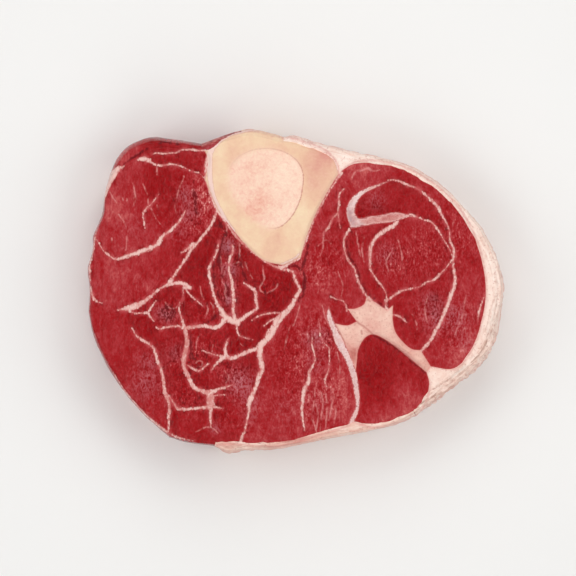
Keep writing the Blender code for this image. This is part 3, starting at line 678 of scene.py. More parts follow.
def wall_profile():
    """(height 0 to 1, rounding in mm): a quarter circle, an upright run, and a quarter circle at the top."""
    foot = np.radians(np.arange(0, 90, 30))
    crown = np.radians(np.arange(0, 91, 18))
    low = [(FOOT_ROUND * (1 - np.cos(a)) / THICKNESS, FOOT_ROUND * (1 - np.sin(a))) for a in foot]
    run = np.linspace(FOOT_ROUND / THICKNESS, 1 - CROWN_ROUND / THICKNESS, 12)
    high = [
        (1 - CROWN_ROUND * (1 - np.sin(a)) / THICKNESS, CROWN_ROUND * (1 - np.cos(a)))
        for a in crown[1:]
    ]
    return low + [(h, 0.0) for h in run] + high


ROUNDED = wall_profile()
print("a rounded wall has", len(ROUNDED), "rings")


# %% Sheets and solids
def field_inside(outlines, step):
    """A triangular lattice of points step apart, between the outlines and clear of them by about step/2."""
    low, high = outlines[0].min(axis=0), outlines[0].max(axis=0)
    rows = np.arange(low[1], high[1], step * np.sqrt(0.75))
    columns = np.arange(low[0], high[0], step)
    x = columns[None] + (np.arange(len(rows)) % 2 * step / 2)[:, None]
    points = np.column_stack([x.ravel(), np.repeat(rows, len(columns))])
    points = points[is_inside(points, outlines[0])]
    for hole in outlines[1:]:
        points = points[~is_inside(points, hole)]
    return points[nearest_of(points, np.vstack(outlines), step)[1] > step * 0.55]


def stitch(outlines, field):
    """Delaunay triangles over outline and field, less those with all their corners on the hole."""
    counts = [len(outline) for outline in outlines]
    edges = []
    start = 0
    for count in counts:
        edges += [(start + k, start + (k + 1) % count) for k in range(count)]
        start += count
    flat = np.vstack([*outlines, field])
    made = geometry.delaunay_2d_cdt([Vector(p) for p in flat.tolist()], edges, [], 1, 1e-6)
    assert len(made[0]) == len(flat), "the stitching must keep every point"
    triangles = np.array(made[2])
    if len(outlines) > 1:
        in_hole = (triangles >= counts[0]) & (triangles < start)
        triangles = triangles[~in_hole.all(axis=1)]
    return triangles


def cell_surface(tissue, outlines):
    """Points (x, y, z in mm), faces and the share of side wall of one closed cell."""
    loop = np.vstack(outlines)
    at_rim = nearest_of(loop, RIM, 1.0)[1].min() < 0.1
    levels = ROUNDED if at_rim else UPRIGHT
    inner = np.vstack([outline + inward(outline) * HAIR_GAP for outline in outlines])
    top = upper_face(loop) + stand_of(tissue, loop, outlines)
    points, side = [], []
    for number, (height, rounding) in enumerate(levels):
        is_end = number in (0, len(levels) - 1)
        flat = drawn_in(loop if is_end else inner, height, height > 0.5, rounding)
        points.append(np.column_stack([flat, height * top]))
        side.append(np.full(len(loop), 0.0 if is_end else 1.0 - rounding / CROWN_ROUND))
    count, last = len(loop), (len(levels) - 1) * len(loop)
    ahead = np.concatenate([np.roll(np.arange(len(o)), -1) + sum(len(p) for p in outlines[:k])
                            for k, o in enumerate(outlines)])
    near = (np.arange(len(levels) - 1)[:, None] * count + np.arange(count)).ravel()
    next_ = (np.arange(len(levels) - 1)[:, None] * count + ahead).ravel()
    quads = np.column_stack([near, next_, next_ + count, near + count])
    sheets = []
    for step, is_top in ((TOP_STEP, True), (FOOT_STEP, False)):
        field = field_inside(outlines, step)
        triangles = stitch(outlines, field)
        first = sum(len(p) for p in points)
        if is_top:
            height = upper_face(field) + stand_of(tissue, field, outlines)
        else:
            height = FOOT_WAVE * (1 + wavy(field, 5, 31))
        flat = drawn_in(field, float(is_top), is_top, levels[-1 if is_top else 0][1])
        points.append(np.column_stack([flat, height]))
        side.append(np.zeros(len(field)))
        shifted = np.where(triangles < count, triangles + (last if is_top else 0), triangles - count + first)
        sheets.append(shifted if is_top else shifted[:, ::-1])
    return np.vstack(points), quads, np.vstack(sheets), np.concatenate(side)


def mesh_piece(name, points, quads, triangles):
    """A mesh object at the origin, its corners in the row's frame in metres."""
    mesh = bpy.data.meshes.new(name)
    placed = (points + [*TO_FRAME, 0.0]) * MM
    mesh.vertices.add(len(placed))
    mesh.vertices.foreach_set("co", placed.ravel())
    mesh.loops.add(quads.size + triangles.size)
    mesh.loops.foreach_set("vertex_index", np.concatenate([quads.ravel(), triangles.ravel()]))
    mesh.polygons.add(len(quads) + len(triangles))
    starts = np.concatenate([np.arange(len(quads)) * 4, quads.size + np.arange(len(triangles)) * 3])
    mesh.polygons.foreach_set("loop_start", starts)
    mesh.update(calc_edges=True)
    mesh.validate()
    mesh.shade_smooth()
    mesh.set_sharp_from_angle(angle=SHARP_ANGLE)
    piece = bpy.data.objects.new(name, mesh)
    bpy.context.scene.collection.objects.link(piece)
    return piece


# %% [markdown]
# ## What the eye reads on the cut
# A muscle isn't one red. The part that has met the air is brighter, and where the fibres lie across the saw
# they are torn into pale flecks, which also stand for small wet glints as painted highlight. The spots also
# paint light and shade: the shin side lighter to the left and darker to the right, the sloping top of the
# extensor lighter, and deeper red under folds as painted shade. Each is a soft spot on the map, given by its
# place, its reach and its amount, and added to the muscle's own tone.

# %% Tones of the tissues
TONES = {
    "muscle_extensor": 0.22, "muscle_shin_side": 0.46, "muscle_flank": 0.46, "muscle_heel": 0.38,
    "muscle_centre": 0.14, "muscle_calf": 0.5, "muscle_outer_band": 0.48, "muscle_hook": 0.24,
    "muscle_strap": 0.38, "muscle_mid": 0.48, "muscle_inner_band": 0.42, "muscle_round": 0.22,
    "muscle_lobe": 0.36, "tendon_hook": 0.4, "tendon_strip": 0.42, "fat_rim": 0.08, "fat_pad": 0.76,
    "fat_foot": 0.1, "bone": 0.18, "marrow": 0.2,
}
# Painted light and shade is in these spots too, as well as tone: the fall of light across the shin side and
# the lit slope of the extensor are painted here.
TONE_AND_LIGHT_SPOTS = {
    "muscle": [
        (108, 205, 22, 0.42), (118, 235, 24, 0.22), (168, 190, 22, -0.27), (150, 180, 16, -0.1),
        (137, 250, 14, 0.18), (128, 285, 26, 0.2), (108, 262, 14, 0.2), (165, 258, 20, -0.08),
        (202, 195, 14, 0.32), (210, 208, 8, 0.3), (130, 148, 20, 0.52), (110, 158, 14, 0.55),
        (172, 136, 12, 0.3), (161, 143, 8, -0.2), (200, 160, 10, 0.05), (200, 262, 16, -0.12),
        (250, 290, 18, -0.1), (225, 432, 34, 0.22), (186, 425, 16, 0.18), (240, 392, 20, 0.22),
        (205, 375, 20, 0.05), (160, 335, 16, 0.12), (196, 340, 14, 0.1), (280, 430, 24, 0.12),
        (345, 400, 18, 0.22), (322, 410, 16, 0.16), (300, 250, 14, -0.12), (335, 240, 14, -0.2),
        (330, 280, 20, 0.08), (345, 165, 26, 0.42), (375, 160, 18, 0.35), (318, 228, 16, 0.2),
        (420, 430, 34, 0.48), (395, 420, 22, 0.34), (372, 432, 20, 0.35), (412, 395, 22, 0.14),
        (365, 375, 22, -0.17), (385, 355, 20, -0.06), (480, 300, 20, 0.1), (463, 352, 9, 0.4),
        (472, 335, 8, 0.25), (435, 298, 6, -0.4), (435, 310, 6, -0.4), (350, 270, 10, 0.1),
        (135, 420, 26, 0.16), (405, 325, 9, -0.2), (315, 275, 14, 0.15), (340, 382, 12, 0.35),
        (344, 410, 12, 0.25), (290, 345, 12, -0.12), (412, 390, 12, 0.26), (372, 194, 12, 0.36),
        (362, 209, 9, -0.2), (376, 207, 9, -0.3), (458, 325, 12, 0.16), (452, 358, 12, 0.3),
        (328, 338, 10, -0.3), (230, 250, 10, -0.3), (232, 300, 9, -0.25), (268, 290, 12, -0.1),
        (166, 316, 12, -0.2),
    ],
    "fat": [
        (345, 322, 14, -0.1), (384, 318, 14, -0.16), (372, 326, 7, 0.22), (395, 350, 16, 0.1),
        (414, 360, 12, 0.15), (432, 392, 20, 0.1), (350, 346, 16, 0.05), (352, 352, 8, 0.28),
        (348, 160, 14, -0.1), (354, 140, 18, 0.12), (300, 440, 30, 0.1), (250, 446, 18, -0.3),
        (330, 436, 14, -0.25), (372, 425, 12, -0.3), (474, 362, 18, 0.2), (440, 385, 14, 0.14),
        (352, 358, 8, 0.6), (420, 425, 16, 0.2), (460, 388, 16, 0.16), (225, 448, 22, 0.55),
        (265, 446, 26, 0.5), (305, 442, 26, 0.5), (340, 437, 24, 0.45), (374, 430, 20, 0.4),
        (400, 424, 16, 0.2),
    ],
    "bone": [
        (320, 165, 18, 0.62), (330, 150, 12, 0.3), (322, 195, 14, 0.3), (238, 160, 12, 0.22),
        (290, 150, 12, 0.2), (285, 245, 14, 0.12), (304, 214, 12, -0.1), (268, 255, 8, 0.3),
    ],
    "tendon": [
        (349, 217, 8, 0.6), (362, 220, 8, 0.35), (371, 218, 8, 0.5), (384, 217, 14, 0.95),
        (404, 214, 14, 0.7), (372, 187, 7, 0.6), (381, 184, 6, 0.4), (358, 198, 6, -0.3),
        (356, 190, 6, -0.3), (358, 404, 16, 0.15), (352, 424, 10, 0.1),
    ],
    "marrow": [
        (255, 166, 12, 0.14), (260, 204, 14, 0.28), (240, 182, 12, 0.12), (280, 185, 12, -0.05),
        (290, 168, 12, -0.12), (248, 215, 12, 0.25),
    ],
}
# Pale flecks of torn fibre ends, and with them painted highlight: the pale specks also stand for small wet
# glints.
FLECK_AND_GLINT_SPOTS = [
    (200, 205, 20, 0.75), (196, 180, 10, 0.3), (190, 228, 14, 0.5), (168, 312, 12, 0.75),
    (228, 262, 10, 0.9), (230, 290, 9, 1.0), (196, 352, 10, 0.7), (178, 360, 9, 0.5), (236, 378, 13, 0.8),
    (222, 372, 10, 0.5), (222, 300, 8, 0.4), (212, 346, 10, 0.3), (300, 350, 24, 0.5),
    (318, 330, 18, 0.35), (290, 375, 18, 0.3), (330, 255, 24, 0.3), (400, 262, 18, 0.45),
    (430, 312, 16, 0.5), (455, 320, 22, 0.4), (320, 400, 20, 0.4), (226, 232, 8, 0.8),
    (345, 375, 18, 0.2), (182, 398, 12, 0.4), (430, 250, 24, 0.4), (460, 230, 30, 0.35),
    (140, 295, 14, 0.12), (205, 156, 8, 0.3), (205, 320, 40, 0.25), (190, 390, 30, 0.25),
    (240, 410, 24, 0.3), (315, 275, 16, 0.35), (387, 258, 12, 0.5), (328, 340, 10, 0.7),
    (340, 345, 8, 0.4), (360, 222, 14, 0.3), (268, 290, 14, 0.35), (147, 380, 20, 0.25),
    (452, 345, 14, 0.2), (310, 400, 26, 0.25),
]
PARTING_SPOTS = [
    (232, 163, 7, 0.2), (246, 155, 9, 0.25), (262, 151, 12, 0.45), (284, 156, 12, 0.7),
    (299, 170, 12, 0.9), (303, 186, 12, 1.0), (297, 204, 12, 1.0), (290, 220, 12, 1.0),
    (280, 230, 8, 0.6),
]
HAZE_SPOTS = [
    (229, 270, 7, 0.8), (229, 246, 7, 0.8), (230, 300, 6, 0.8), (230, 286, 6, 0.5), (240, 382, 13, 0.6),
    (250, 398, 9, 0.4), (186, 196, 9, 0.45), (190, 214, 9, 0.4), (176, 352, 9, 0.3), (168, 316, 7, 0.5),
    (436, 318, 12, 0.5), (313, 340, 9, 0.45), (316, 362, 10, 0.3), (208, 398, 8, 0.1),
    (150, 362, 12, 0.3), (216, 429, 6, 0.35), (222, 152, 8, 0.4), (430, 300, 10, 0.3),
    (455, 312, 10, 0.3), (146, 385, 14, 0.35), (387, 255, 10, 0.35), (232, 315, 5, 0.4),
    (160, 312, 6, 0.4), (322, 335, 8, 0.4), (250, 415, 8, 0.3), (180, 232, 10, 0.2), (376, 200, 10, 0.3),
    (458, 325, 12, 0.25), (467, 345, 8, 0.3), (318, 405, 14, 0.2), (135, 228, 12, 0.12),
    (285, 410, 14, 0.12),
]
STAIN_SPOTS = [
    (186, 345, 16, 0.8), (185, 368, 12, 0.6), (198, 389, 10, 0.4), (209, 400, 12, 0.65),
    (165, 395, 14, 0.4), (195, 327, 12, 0.45), (230, 360, 14, 0.45), (205, 358, 12, 0.6),
    (175, 409, 12, 0.7), (145, 302, 14, 0.5), (118, 309, 8, 0.3), (188, 247, 8, 0.4), (172, 165, 18, 0.4),
    (228, 262, 14, 0.4), (232, 300, 12, 0.5), (372, 255, 18, 0.4), (345, 250, 26, 0.6),
    (397, 294, 14, 0.6), (430, 340, 16, 0.4), (338, 212, 16, 0.4), (312, 372, 24, 0.55),
    (338, 305, 12, 0.9), (396, 318, 12, 0.6), (256, 300, 12, 0.3), (258, 368, 14, 0.4),
    (247, 430, 14, 0.4), (270, 318, 12, 0.4), (240, 238, 16, 0.9), (265, 262, 16, 0.8),
    (209, 175, 18, 0.35), (325, 215, 20, 0.5), (212, 420, 12, 0.4), (460, 300, 10, 0.4),
    (135, 338, 12, 0.4), (150, 420, 20, 0.4), (172, 225, 10, 0.1), (165, 330, 12, 0.5),
]
LILAC_SPOTS = [
    (349, 217, 7, 1.0), (354, 222, 6, 0.6), (347.5, 207, 5, 0.8), (334, 334, 5, 0.1), (339, 350, 6, 0.15),
    (347, 371, 6, 0.5), (352, 386, 6, 0.35),
]


def sum_of_spots(points, spots):
    """The sum of amount·e^-(d/reach)² over the spots, each at (x, y) with its reach, in pixels."""
    total = np.zeros(len(points))
    for x, y, reach, amount in spots:
        away = np.linalg.norm(points - place_of_pixel(x, y), axis=1)
        total += amount * np.exp(-(away / (reach * PIXEL_MM)) ** 2)
    return total


CORE_BLEND, CORE_SOFTER = 0.15, 2.6


def read_the_cut(name, tissue, points, side):
    """The attributes that the materials read, one number for each point."""
    flat = points[:, :2]
    ring = distance_to_lines(flat, [as_line(MARROW)], SEAM_REACH)
    parting = np.clip(sum_of_spots(flat, PARTING_SPOTS), 0, 1)
    blend = CORE_BLEND + CORE_SOFTER * (1 - parting)
    index, rim = nearest_of(flat, RIM, TUCK_REACH)
    kind, own = ("bone", "bone") if tissue == "marrow" else (tissue, name)
    border = FIRM_SET if tissue == "muscle" else [as_line(OUTLINES[own][0])]
    return {
        "seam": distance_to_lines(flat, SEAM_SET, SEAM_REACH),
        "streak": distance_to_lines(flat, STREAK_SET, SEAM_REACH),
        "crease": distance_to_lines(flat, CREASE_SET, SEAM_REACH),
        "edge": distance_to_lines(flat, border, SEAM_REACH),
        "ring": ring,
        "parting": parting,
        "core": ease(0.5 + np.where(is_inside(flat, MARROW), ring, -ring) / blend / 2),
        "film": distance_to_lines(flat, FILM_SET, SEAM_REACH),
        "skin": distance_to_lines(flat, SKIN_SET, SEAM_REACH),
        "vein": distance_to_lines(flat, VEIN_SET, SEAM_REACH),
        "tone": TONES[own] + sum_of_spots(flat, TONE_AND_LIGHT_SPOTS[kind]),
        "inner": TONES["marrow"] + sum_of_spots(flat, TONE_AND_LIGHT_SPOTS["marrow"]),
        "fleck": sum_of_spots(flat, FLECK_AND_GLINT_SPOTS),
        "haze": sum_of_spots(flat, HAZE_SPOTS),
        "stain": sum_of_spots(flat, STAIN_SPOTS),
        "lilac": sum_of_spots(flat, LILAC_SPOTS),
        "rim": rim,
        "rough": np.clip(RIM_FRAY[index] - PLAIN_FRAY, 0, 1),
        "along": index * OUTLINE_STEP,
        "side": side,
    }


# %% [markdown]
# ## Helpers for materials
# Colours are written as sRGB hex, as a colour picker shows them, and Cycles wants linear light, so one
# function converts them. One more adds a node with its settings and its links, and it is all that a
# material needs.

# %% Colours and nodes
EASED = {"interpolation_type": "SMOOTHSTEP"}


def colour(code):
    """A hex colour as linear RGBA: s/12.92 up to 0.04045, and ((s + 0.055) / 1.055)^2.4 above."""
    shares = [int(code[i : i + 2], 16) / 255 for i in (1, 3, 5)]
    return (*[s / 12.92 if s <= 0.04045 else ((s + 0.055) / 1.055) ** 2.4 for s in shares], 1.0)


def add(tree, kind, inputs, out=0, stops=(), **settings):
    """Adds a node with its settings, gives each input a value or a link, and returns one of its outputs."""
    made = tree.nodes.new("ShaderNode" + kind)
    for key, value in settings.items():
        setattr(made, key, value)
    for key, value in inputs.items():
        if isinstance(value, bpy.types.NodeSocket):
            tree.links.new(value, made.inputs[key])
        else:
            made.inputs[key].default_value = value
    for place, code in stops:
        elements = made.color_ramp.elements
        end = {0.0: 0, 1.0: -1}.get(place)
        stop = elements.new(place) if end is None else elements[end]
        stop.color = colour(code)
    return made.outputs[out] if made.outputs else None


def start_material(name, scale, marks=""):
    """An empty node tree, its coordinates scaled from metres to millimetres, and its attributes by name."""
    material = bpy.data.materials.new(name)
    material.use_nodes = True
    tree = material.node_tree
    tree.nodes.clear()
    place = add(tree, "Mapping", {"Vector": add(tree, "TexCoord", {}, out="Object"), "Scale": scale})
    read = {mark: add(tree, "Attribute", {}, out="Fac", attribute_name=mark) for mark in marks.split()}
    return material, tree, place, read


def uneven(tree, place, size, detail=2.0, roughness=0.6, distortion=0.0):
    """Noise less a half, with features size mm wide: it lies around 0, mostly within 0.2."""
    settings = {"Scale": 1 / size, "Detail": detail, "Roughness": roughness, "Distortion": distortion}
    made = add(tree, "TexNoise", {"Vector": place, **settings})
    return add(tree, "Math", {0: made, 1: 0.5}, operation="SUBTRACT")


def weighted(tree, total, *parts):
    """The total plus value times amount for each part, one part after the other."""
    for value, amount in parts:
        total = add(tree, "Math", {0: value, 1: amount, 2: total}, operation="MULTIPLY_ADD")
    return total


def lay_on(tree, under, top, value, start, end, most=1.0, times=()):
    """Top over under: its share eases from 0 at start to most at end, and is then times the other shares."""
    share = add(tree, "MapRange", {"Value": value, 1: start, 2: end, 4: most}, **EASED)
    for other in times:
        share = add(tree, "Math", {0: share, 1: other}, operation="MULTIPLY", use_clamp=True)
    cover = colour(top) if isinstance(top, str) else top
    return add(tree, "Mix", {0: share, 6: under, 7: cover}, out=2, data_type="RGBA")


def finish_material(material, tree, inputs):
    """Ends a material in one Principled surface."""
    surface = add(tree, "BsdfPrincipled", {"Metallic": 0.0, **inputs})
    add(tree, "OutputMaterial", {"Surface": surface})
    return material


# %% [markdown]
# ## Raw muscle
# Fresh beef muscle is wet, deep cherry red and slightly translucent. Its fibres run along the leg, so the
# cut shows their ends as a fine grain and the side shows them as long streaks. The noise is therefore
# squeezed along Z. Fibre bundles are 0.5 to 1 mm wide, so the finest grain is 0.62 mm and the torn bundles
# are 1.3 mm.

# %% Muscle material
MUSCLE_REDS = [
    (0.0, "#660006"), (0.15, "#7E0006"), (0.30, "#92040A"), (0.45, "#A1161C"), (0.60, "#AD3237"),
    (0.75, "#C15654"), (0.88, "#D8827E"), (1.0, "#EBB4AE"),
]
# Beside the seams: painted shade in dark red where the noise is low, the seam's own pink halo where it is
# high.
HALO_AND_SHADE_REDS = [(0.0, "#74000A"), (0.45, "#A02228"), (1.0, "#C4585A")]


def muscle_material():
    """Reds by tone and grain with some painted light and glints, haze, then streaks, painted crease shade,
    and seams with painted shade beside them by distance, under a moist gloss.
    """
    marks = "tone fleck haze stain streak crease edge seam side"
    material, tree, grain, read = start_material("raw beef muscle", (1000, 560, 90), marks)
    large, bundle = uneven(tree, grain, 8.0), uneven(tree, grain, 2.6)
    torn, fine = uneven(tree, grain, 1.3, 2.0, 0.7, 0.8), uneven(tree, grain, 0.62, 1.0)

    shade = weighted(tree, 0.27, (read["tone"], 0.42), (large, 0.36), (bundle, 0.38))
    # In fleck spots the grain reaches the pale end of the reds: torn fibre, and painted wet glints.
    shade = weighted(tree, shade, (torn, weighted(tree, 0.28, (read["fleck"], 1.4))))
    shade = weighted(tree, shade, (fine, weighted(tree, 0.32, (read["fleck"], 1.2))))
    red = add(tree, "ValToRGB", {"Fac": shade}, stops=MUSCLE_REDS)

    cloud = weighted(tree, torn, (fine, 0.9))
    red = lay_on(tree, red, "#B6747D", cloud, -0.22, 0.24, times=[read["haze"]])
    faint = weighted(tree, read["streak"], (torn, 1.2))
    broken = add(tree, "MapRange", {"Value": bundle, 1: -0.16, 2: 0.08}, **EASED)
    red = lay_on(tree, red, "#D98A86", faint, 0.26, -0.20, 0.75, [broken])
    # Painted shade: dark red along the crease lines, for the shadow in folds and beside seams.
    painted_crease_shade = weighted(tree, read["crease"], (torn, 2.0), (bundle, 1.6))
    red = lay_on(tree, red, "#6A0009", painted_crease_shade, 0.40, -0.20, 0.85)
    border = weighted(tree, read["edge"], (torn, 1.2))
    red = lay_on(tree, red, "#C85E5C", border, 0.45, -0.05, 0.5)

    frayed = weighted(tree, read["seam"], (bundle, 1.0), (torn, 0.9), (fine, 0.7))
    # Painted shade beside each seam, broken by noise, fading into a pink halo.
    shadow = weighted(tree, torn, (bundle, 1.2))
    halo_and_shade = add(tree, "ValToRGB", {"Fac": weighted(tree, 0.5, (shadow, 2.2))}, stops=HALO_AND_SHADE_REDS)
    red = lay_on(tree, red, halo_and_shade, frayed, 1.4, 0.0, 0.6)
    pale = weighted(tree, frayed, (torn, 0.8), (fine, 1.0))
    white = lay_on(tree, colour("#CE7C77"), "#EAC0B7", pale, 0.15, -0.80)
    bloody = weighted(tree, read["stain"], (torn, 2.4))
    white = lay_on(tree, white, "#CC7671", bloody, 0.10, 0.95, 0.9)
    red = lay_on(tree, red, white, frayed, 0.20, -0.22)

    height = add(tree, "SeparateXYZ", {"Vector": add(tree, "TexCoord", {}, out="Object")}, out="Z")
    thin = add(tree, "MapRange", {"Value": uneven(tree, grain, 7.0, 4.0), 1: -0.08, 2: 0.16}, **EASED)
    red = lay_on(tree, red, "#CF8E8A", height, 0.021, 0.012, 0.55, [read["side"], thin])

    relief = weighted(tree, torn, (fine, 0.5), (bundle, 0.8))
    bump = add(tree, "Bump", {"Strength": 0.6, "Distance": 0.0006, "Height": relief})
    return finish_material(material, tree, {
        "Base Color": red, "Roughness": weighted(tree, 0.24, (large, 0.3)), "Normal": bump, "IOR": 1.36,
        "Specular IOR Level": 0.3,
    })


# %% [markdown]
# ## Raw fat
# Beef fat is a waxy cream white, and where it lies thin over muscle it looks rosy. It is made of small
# lobes parted by fine threads, which a stretched noise gives. It takes a soft, wide gloss, so its roughness
# is about 0.45.

# %% Fat material
FAT_CREAMS = [(0.0, "#FFEBDF"), (0.25, "#F9DCCE"), (0.5, "#EEC2B1"), (0.75, "#DE9F91"), (1.0, "#C26C62")]


def fat_material():
    """Cream to rose by tone and noise, strands along the rim with painted shade between layers, rosy edges,
    painted crease shade, lobes 5 mm wide in the relief.
    """
    marks = "tone rim along rough side edge vein crease"
    material, tree, lobes, read = start_material("raw beef fat", (1000, 1000, 260), marks)
    large, small = uneven(tree, lobes, 5.0, 3.0), uneven(tree, lobes, 1.3, 3.0)
    speck = uneven(tree, lobes, 0.9, 1.0)
    height = add(tree, "SeparateXYZ", {"Vector": lobes}, out="Z")
    along, up = weighted(tree, 0.0, (read["along"], 0.11)), weighted(tree, 0.0, (height, 1.1))
    run = add(tree, "CombineXYZ", {"X": along, "Y": read["rim"], "Z": up})
    strand = uneven(tree, run, 1.1, 2.0, 0.6, 0.6)
    outer = add(tree, "MapRange", {"Value": read["rim"], 1: 7.0, 2: 3.0}, **EASED)
    torn_rim = add(tree, "Math", {0: outer, 1: read["rough"]}, operation="MULTIPLY")
    upper_part = weighted(tree, 1.0, (read["side"], -0.5))
    torn_rim = add(tree, "Math", {0: torn_rim, 1: upper_part}, operation="MULTIPLY")

    shade = weighted(tree, 0.16, (read["tone"], 0.55), (large, 0.45), (small, 0.45))
    shade = weighted(tree, shade, (strand, weighted(tree, 0.0, (outer, 0.9))))
    cream = add(tree, "ValToRGB", {"Fac": shade}, stops=FAT_CREAMS)
    cream = lay_on(tree, cream, "#C98878", speck, 0.10, 0.20, 0.5)
    # Beige-brown strands on the torn rim: partly the layers' own colour, partly painted shade in the steps
    # between them.
    layer_and_shade = weighted(tree, strand, (small, 0.3))
    cream = lay_on(tree, cream, "#BC9180", layer_and_shade, -0.03, 0.16, 0.75, [torn_rim])
    blush = weighted(tree, read["edge"], (small, 2.0))
    cream = lay_on(tree, cream, "#D98B82", blush, 0.9, -0.1, 0.6)
    vein = weighted(tree, read["vein"], (small, 1.0))
    cream = lay_on(tree, cream, "#B96A60", vein, 0.40, -0.20, 0.65)
    # Painted shade: dark rose along the crease lines, for the shadow where the fat stands over the muscle.
    painted_crease_shade = weighted(tree, read["crease"], (small, 1.0))
    cream = lay_on(tree, cream, "#A04245", painted_crease_shade, 0.30, -0.15, 0.6)

    rise = weighted(tree, 0.0, (outer, 1.5), (torn_rim, 3.0))
    relief = weighted(tree, small, (strand, rise), (large, 1.5))
    bump = add(tree, "Bump", {"Strength": 0.5, "Distance": 0.0006, "Height": relief})
    return finish_material(material, tree, {
        "Base Color": cream, "Roughness": 0.45, "Normal": bump, "IOR": 1.45, "Specular IOR Level": 0.4,
    })


# %% [markdown]
# ## Tendon
# A tendon is a cord of packed white fibres with a pearly, bluish cast. Cut across, it is smooth and a
# little grey, with a paler rim where its sheath starts.

# %% Tendon material
TENDON_PEARLS = [(0.0, "#F2DEDA"), (0.35, "#E6C3BF"), (0.7, "#D99A92"), (1.0, "#C06A66")]


def tendon_material():
    """Pearl to rose by tone, lilac in places, a pale sheath, torn red at the edge, fibres along the leg."""
    material, tree, fibres, read = start_material("raw tendon", (1000, 1000, 90), "tone lilac edge")
    large, small = uneven(tree, fibres, 3.0, 3.0), uneven(tree, fibres, 1.0, 2.0, 0.7)
    dots = uneven(tree, fibres, 0.7, 1.0)
    shade = weighted(tree, 0.15, (read["tone"], 0.5), (large, 0.9), (small, 0.9))
    pearl = add(tree, "ValToRGB", {"Fac": shade}, stops=TENDON_PEARLS)
    pearl = lay_on(tree, pearl, "#B98F91", large, -0.25, 0.10, times=[read["lilac"]])
    pearl = lay_on(tree, pearl, "#C98880", dots, 0.06, 0.18, 0.5)
    pearl = lay_on(tree, pearl, "#F2C6BE", read["edge"], 0.9, 0.3, 0.35)
    torn = weighted(tree, read["edge"], (large, 1.2), (small, 2.0), (dots, 0.6))
    pearl = lay_on(tree, pearl, "#AC4044", torn, 0.36, 0.04, 0.9)
    relief = weighted(tree, small, (large, 1.0))
    bump = add(tree, "Bump", {"Strength": 0.4, "Distance": 0.0004, "Height": relief})
    return finish_material(material, tree, {
        "Base Color": pearl, "Roughness": 0.34, "Normal": bump, "IOR": 1.42, "Specular IOR Level": 0.5,
        "Coat Weight": 0.1, "Coat Roughness": 0.2,
    })


# %% [markdown]
# ## Sawn bone and marrow
# The wall of the shin bone is dense and cream yellow, rosy where small vessels run. The saw leaves it
# smooth and dull. The marrow in its middle is fat in a fine sponge of bone, paler and pinker, with short
# streaks. On one side a thin red line parts the two; on the other they run into each other, so both
# materials blend by one attribute.

# %% Bone and marrow materials
BONE_FLESH = [(0.0, "#6A0008"), (0.4, "#98141C"), (0.7, "#B84A52"), (1.0, "#DFA0A6")]
BONE_CREAMS = [(0.0, "#F3DAB6"), (0.4, "#EBC2A2"), (1.0, "#DA9687")]
MARROW_CREAMS = [(0.0, "#FBE2CC"), (0.3, "#F6CFB9"), (0.6, "#EEB5A0"), (1.0, "#DB8A7A")]


def bone_and_marrow_material(name, gloss):
    """Bone and marrow colours blended by the core attribute, a red line at the ring, red film outside."""
    marks = "tone inner core ring parting edge skin film side"
    material, tree, clouds, read = start_material(name, (1000, 1000, 120), marks)
    large, mottle = uneven(tree, clouds, 8.0, 3.0), uneven(tree, clouds, 2.4, 4.0, 0.65, 1.0)
    small = uneven(tree, clouds, 0.9, 2.0, 0.65)

    shade = weighted(tree, 0.1, (small, 0.25), (large, 1.0), (read["tone"], 1.0))
    dense = add(tree, "ValToRGB", {"Fac": shade}, stops=BONE_CREAMS)
    shade = weighted(tree, 0.08, (small, 0.55), (mottle, 0.9), (read["inner"], 0.9))
    spongy = add(tree, "ValToRGB", {"Fac": shade}, stops=MARROW_CREAMS)
    mixing = {"operation": "MULTIPLY_ADD", "use_clamp": True}
    core = add(tree, "Math", {0: mottle, 1: 1.2, 2: read["core"]}, **mixing)
    cream = add(tree, "Mix", {0: core, 6: dense, 7: spongy}, out=2, data_type="RGBA")

    broken = weighted(tree, read["ring"], (small, 1.2))
    cream = lay_on(tree, cream, "#C47A6E", broken, 0.40, 0.05, 0.65, [read["parting"]])
    edge = weighted(tree, read["edge"], (small, 0.8))
    cream = lay_on(tree, cream, "#E8BDA6", edge, 1.6, 0.4, 0.35)
    cream = lay_on(tree, cream, "#D08078", edge, 0.45, 0.05, 0.8)
    skin = weighted(tree, read["skin"], (small, 1.0))
    cream = lay_on(tree, cream, "#CE9484", skin, 0.45, 0.20, 0.5)
    cream = lay_on(tree, cream, "#F1D0C6", skin, 0.20, 0.02, 0.9)
    film = weighted(tree, read["film"], (small, 1.2))
    cream = lay_on(tree, cream, "#F0CCC2", film, 0.65, 0.30, 0.9)
    flesh = add(tree, "ValToRGB", {"Fac": weighted(tree, 0.40, (mottle, 1.8))}, stops=BONE_FLESH)
    cream = lay_on(tree, cream, flesh, film, 0.25, -0.05)
    cream = lay_on(tree, cream, "#D9958C", mottle, -0.15, 0.25, 0.8, [read["side"]])
    bump = add(tree, "Bump", {"Strength": 0.2, "Distance": 0.0002, "Height": small})
    return finish_material(material, tree, {
        "Base Color": cream, "Roughness": gloss, "Normal": bump, "IOR": 1.45, "Specular IOR Level": 0.4,
    })


MATERIALS = {
    "muscle": muscle_material(), "fat": fat_material(), "tendon": tendon_material(),
    "bone": bone_and_marrow_material("sawn beef bone", 0.48),
    "marrow": bone_and_marrow_material("beef marrow in spongy bone", 0.42),
}
print("materials:", ", ".join(m.name for m in MATERIALS.values()))

# %% [markdown]
# ## The pieces
# Now each cell gets its surface, its attributes and its material, and stands for the plain solid of the
# same name.

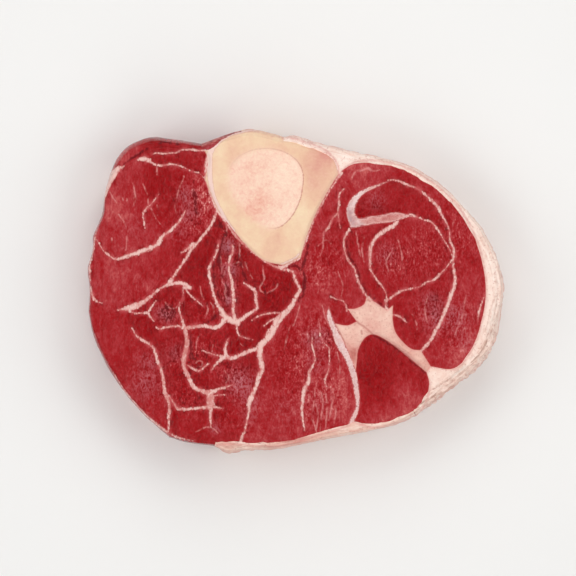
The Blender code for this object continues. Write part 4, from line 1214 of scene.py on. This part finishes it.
# %% Make every piece
total = 0
for name, outlines in OUTLINES.items():
    tissue = name.split("_")[0]
    points, quads, triangles, side = cell_surface(tissue, outlines)
    piece = mesh_piece(name + "_tissue", points, quads, triangles)
    for key, values in read_the_cut(name, tissue, points, side).items():
        piece.data.attributes.new(key, "FLOAT", "POINT").data.foreach_set("value", values.astype(np.float32))
    piece.data.materials.append(MATERIALS[tissue])
    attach(piece, "root")
    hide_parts(name)
    count = len(quads) * 2 + len(triangles)
    total += count
    print(f"{name}: {count} triangles, top at {points[:, 2].max():.1f} mm")
print("all pieces:", total, "triangles")

# %% [markdown]
# ## Floor, light and camera
# The light is soft and comes from four large panels half way up the sky, because a panel straight above
# would mirror in the wet face and wash the reds out. The floor is plain and pale.

# %% Floor
def plain_floor():
    """A flat square of 3 m at Z = 0, a hair below the slice."""
    half, below = 1.5, -0.0002
    corners = [(x * half, y * half, below) for x, y in ((-1, -1), (1, -1), (1, 1), (-1, 1))]
    mesh = bpy.data.meshes.new("floor")
    mesh.from_pydata(corners, [], [(0, 1, 2, 3)])
    floor = bpy.data.objects.new("floor", mesh)
    bpy.context.scene.collection.objects.link(floor)
    material, tree, _, _ = start_material("matt pale paper", (1, 1, 1))
    paper = finish_material(material, tree, {"Base Color": colour("#EFEEEC"), "Roughness": 0.9})
    mesh.materials.append(paper)


plain_floor()

# %% Light
PANEL_SIZE, PANEL_AWAY, PANEL_RISE = 0.6, 0.75, np.radians(45)
ROOM_LIGHT = 0.18
PANELS = {"front": (-90, 1.8), "left": (180, 2.1), "back": (90, 2.3), "right": (0, 2.1)}
for name, (azimuth, power) in PANELS.items():
    lamp = bpy.data.lights.new("panel_" + name, "AREA")
    lamp.shape, lamp.size, lamp.energy = "SQUARE", PANEL_SIZE, power
    panel = bpy.data.objects.new("panel_" + name, lamp)
    turn, level = np.radians(azimuth), np.cos(PANEL_RISE)
    panel.location = PANEL_AWAY * Vector((np.cos(turn) * level, np.sin(turn) * level, np.sin(PANEL_RISE)))
    panel.rotation_euler = panel.location.to_track_quat("Z", "Y").to_euler()
    bpy.context.scene.collection.objects.link(panel)

world = bpy.data.worlds.new("soft room")
world.use_nodes = True
world.node_tree.nodes["Background"].inputs["Color"].default_value = colour("#FFFFFF")
world.node_tree.nodes["Background"].inputs["Strength"].default_value = ROOM_LIGHT
bpy.context.scene.world = world
bpy.context.scene.view_settings.view_transform = "Standard"

# %% Camera
VIEW_MIDDLE, VIEW_PIXELS = (288, 288), 576
VIEW_DISTANCE, SENSOR = 1.8, 36.0
camera = bpy.data.objects.new("camera", bpy.data.cameras.new("camera"))
camera.data.sensor_width = SENSOR
camera.data.lens = SENSOR * VIEW_DISTANCE / (VIEW_PIXELS * PIXEL_MM * MM)
aim = (place_of_pixel(*VIEW_MIDDLE) + TO_FRAME) * MM
camera.location = (*aim, THICKNESS * MM + VIEW_DISTANCE)
bpy.context.scene.collection.objects.link(camera)
bpy.context.scene.camera = camera
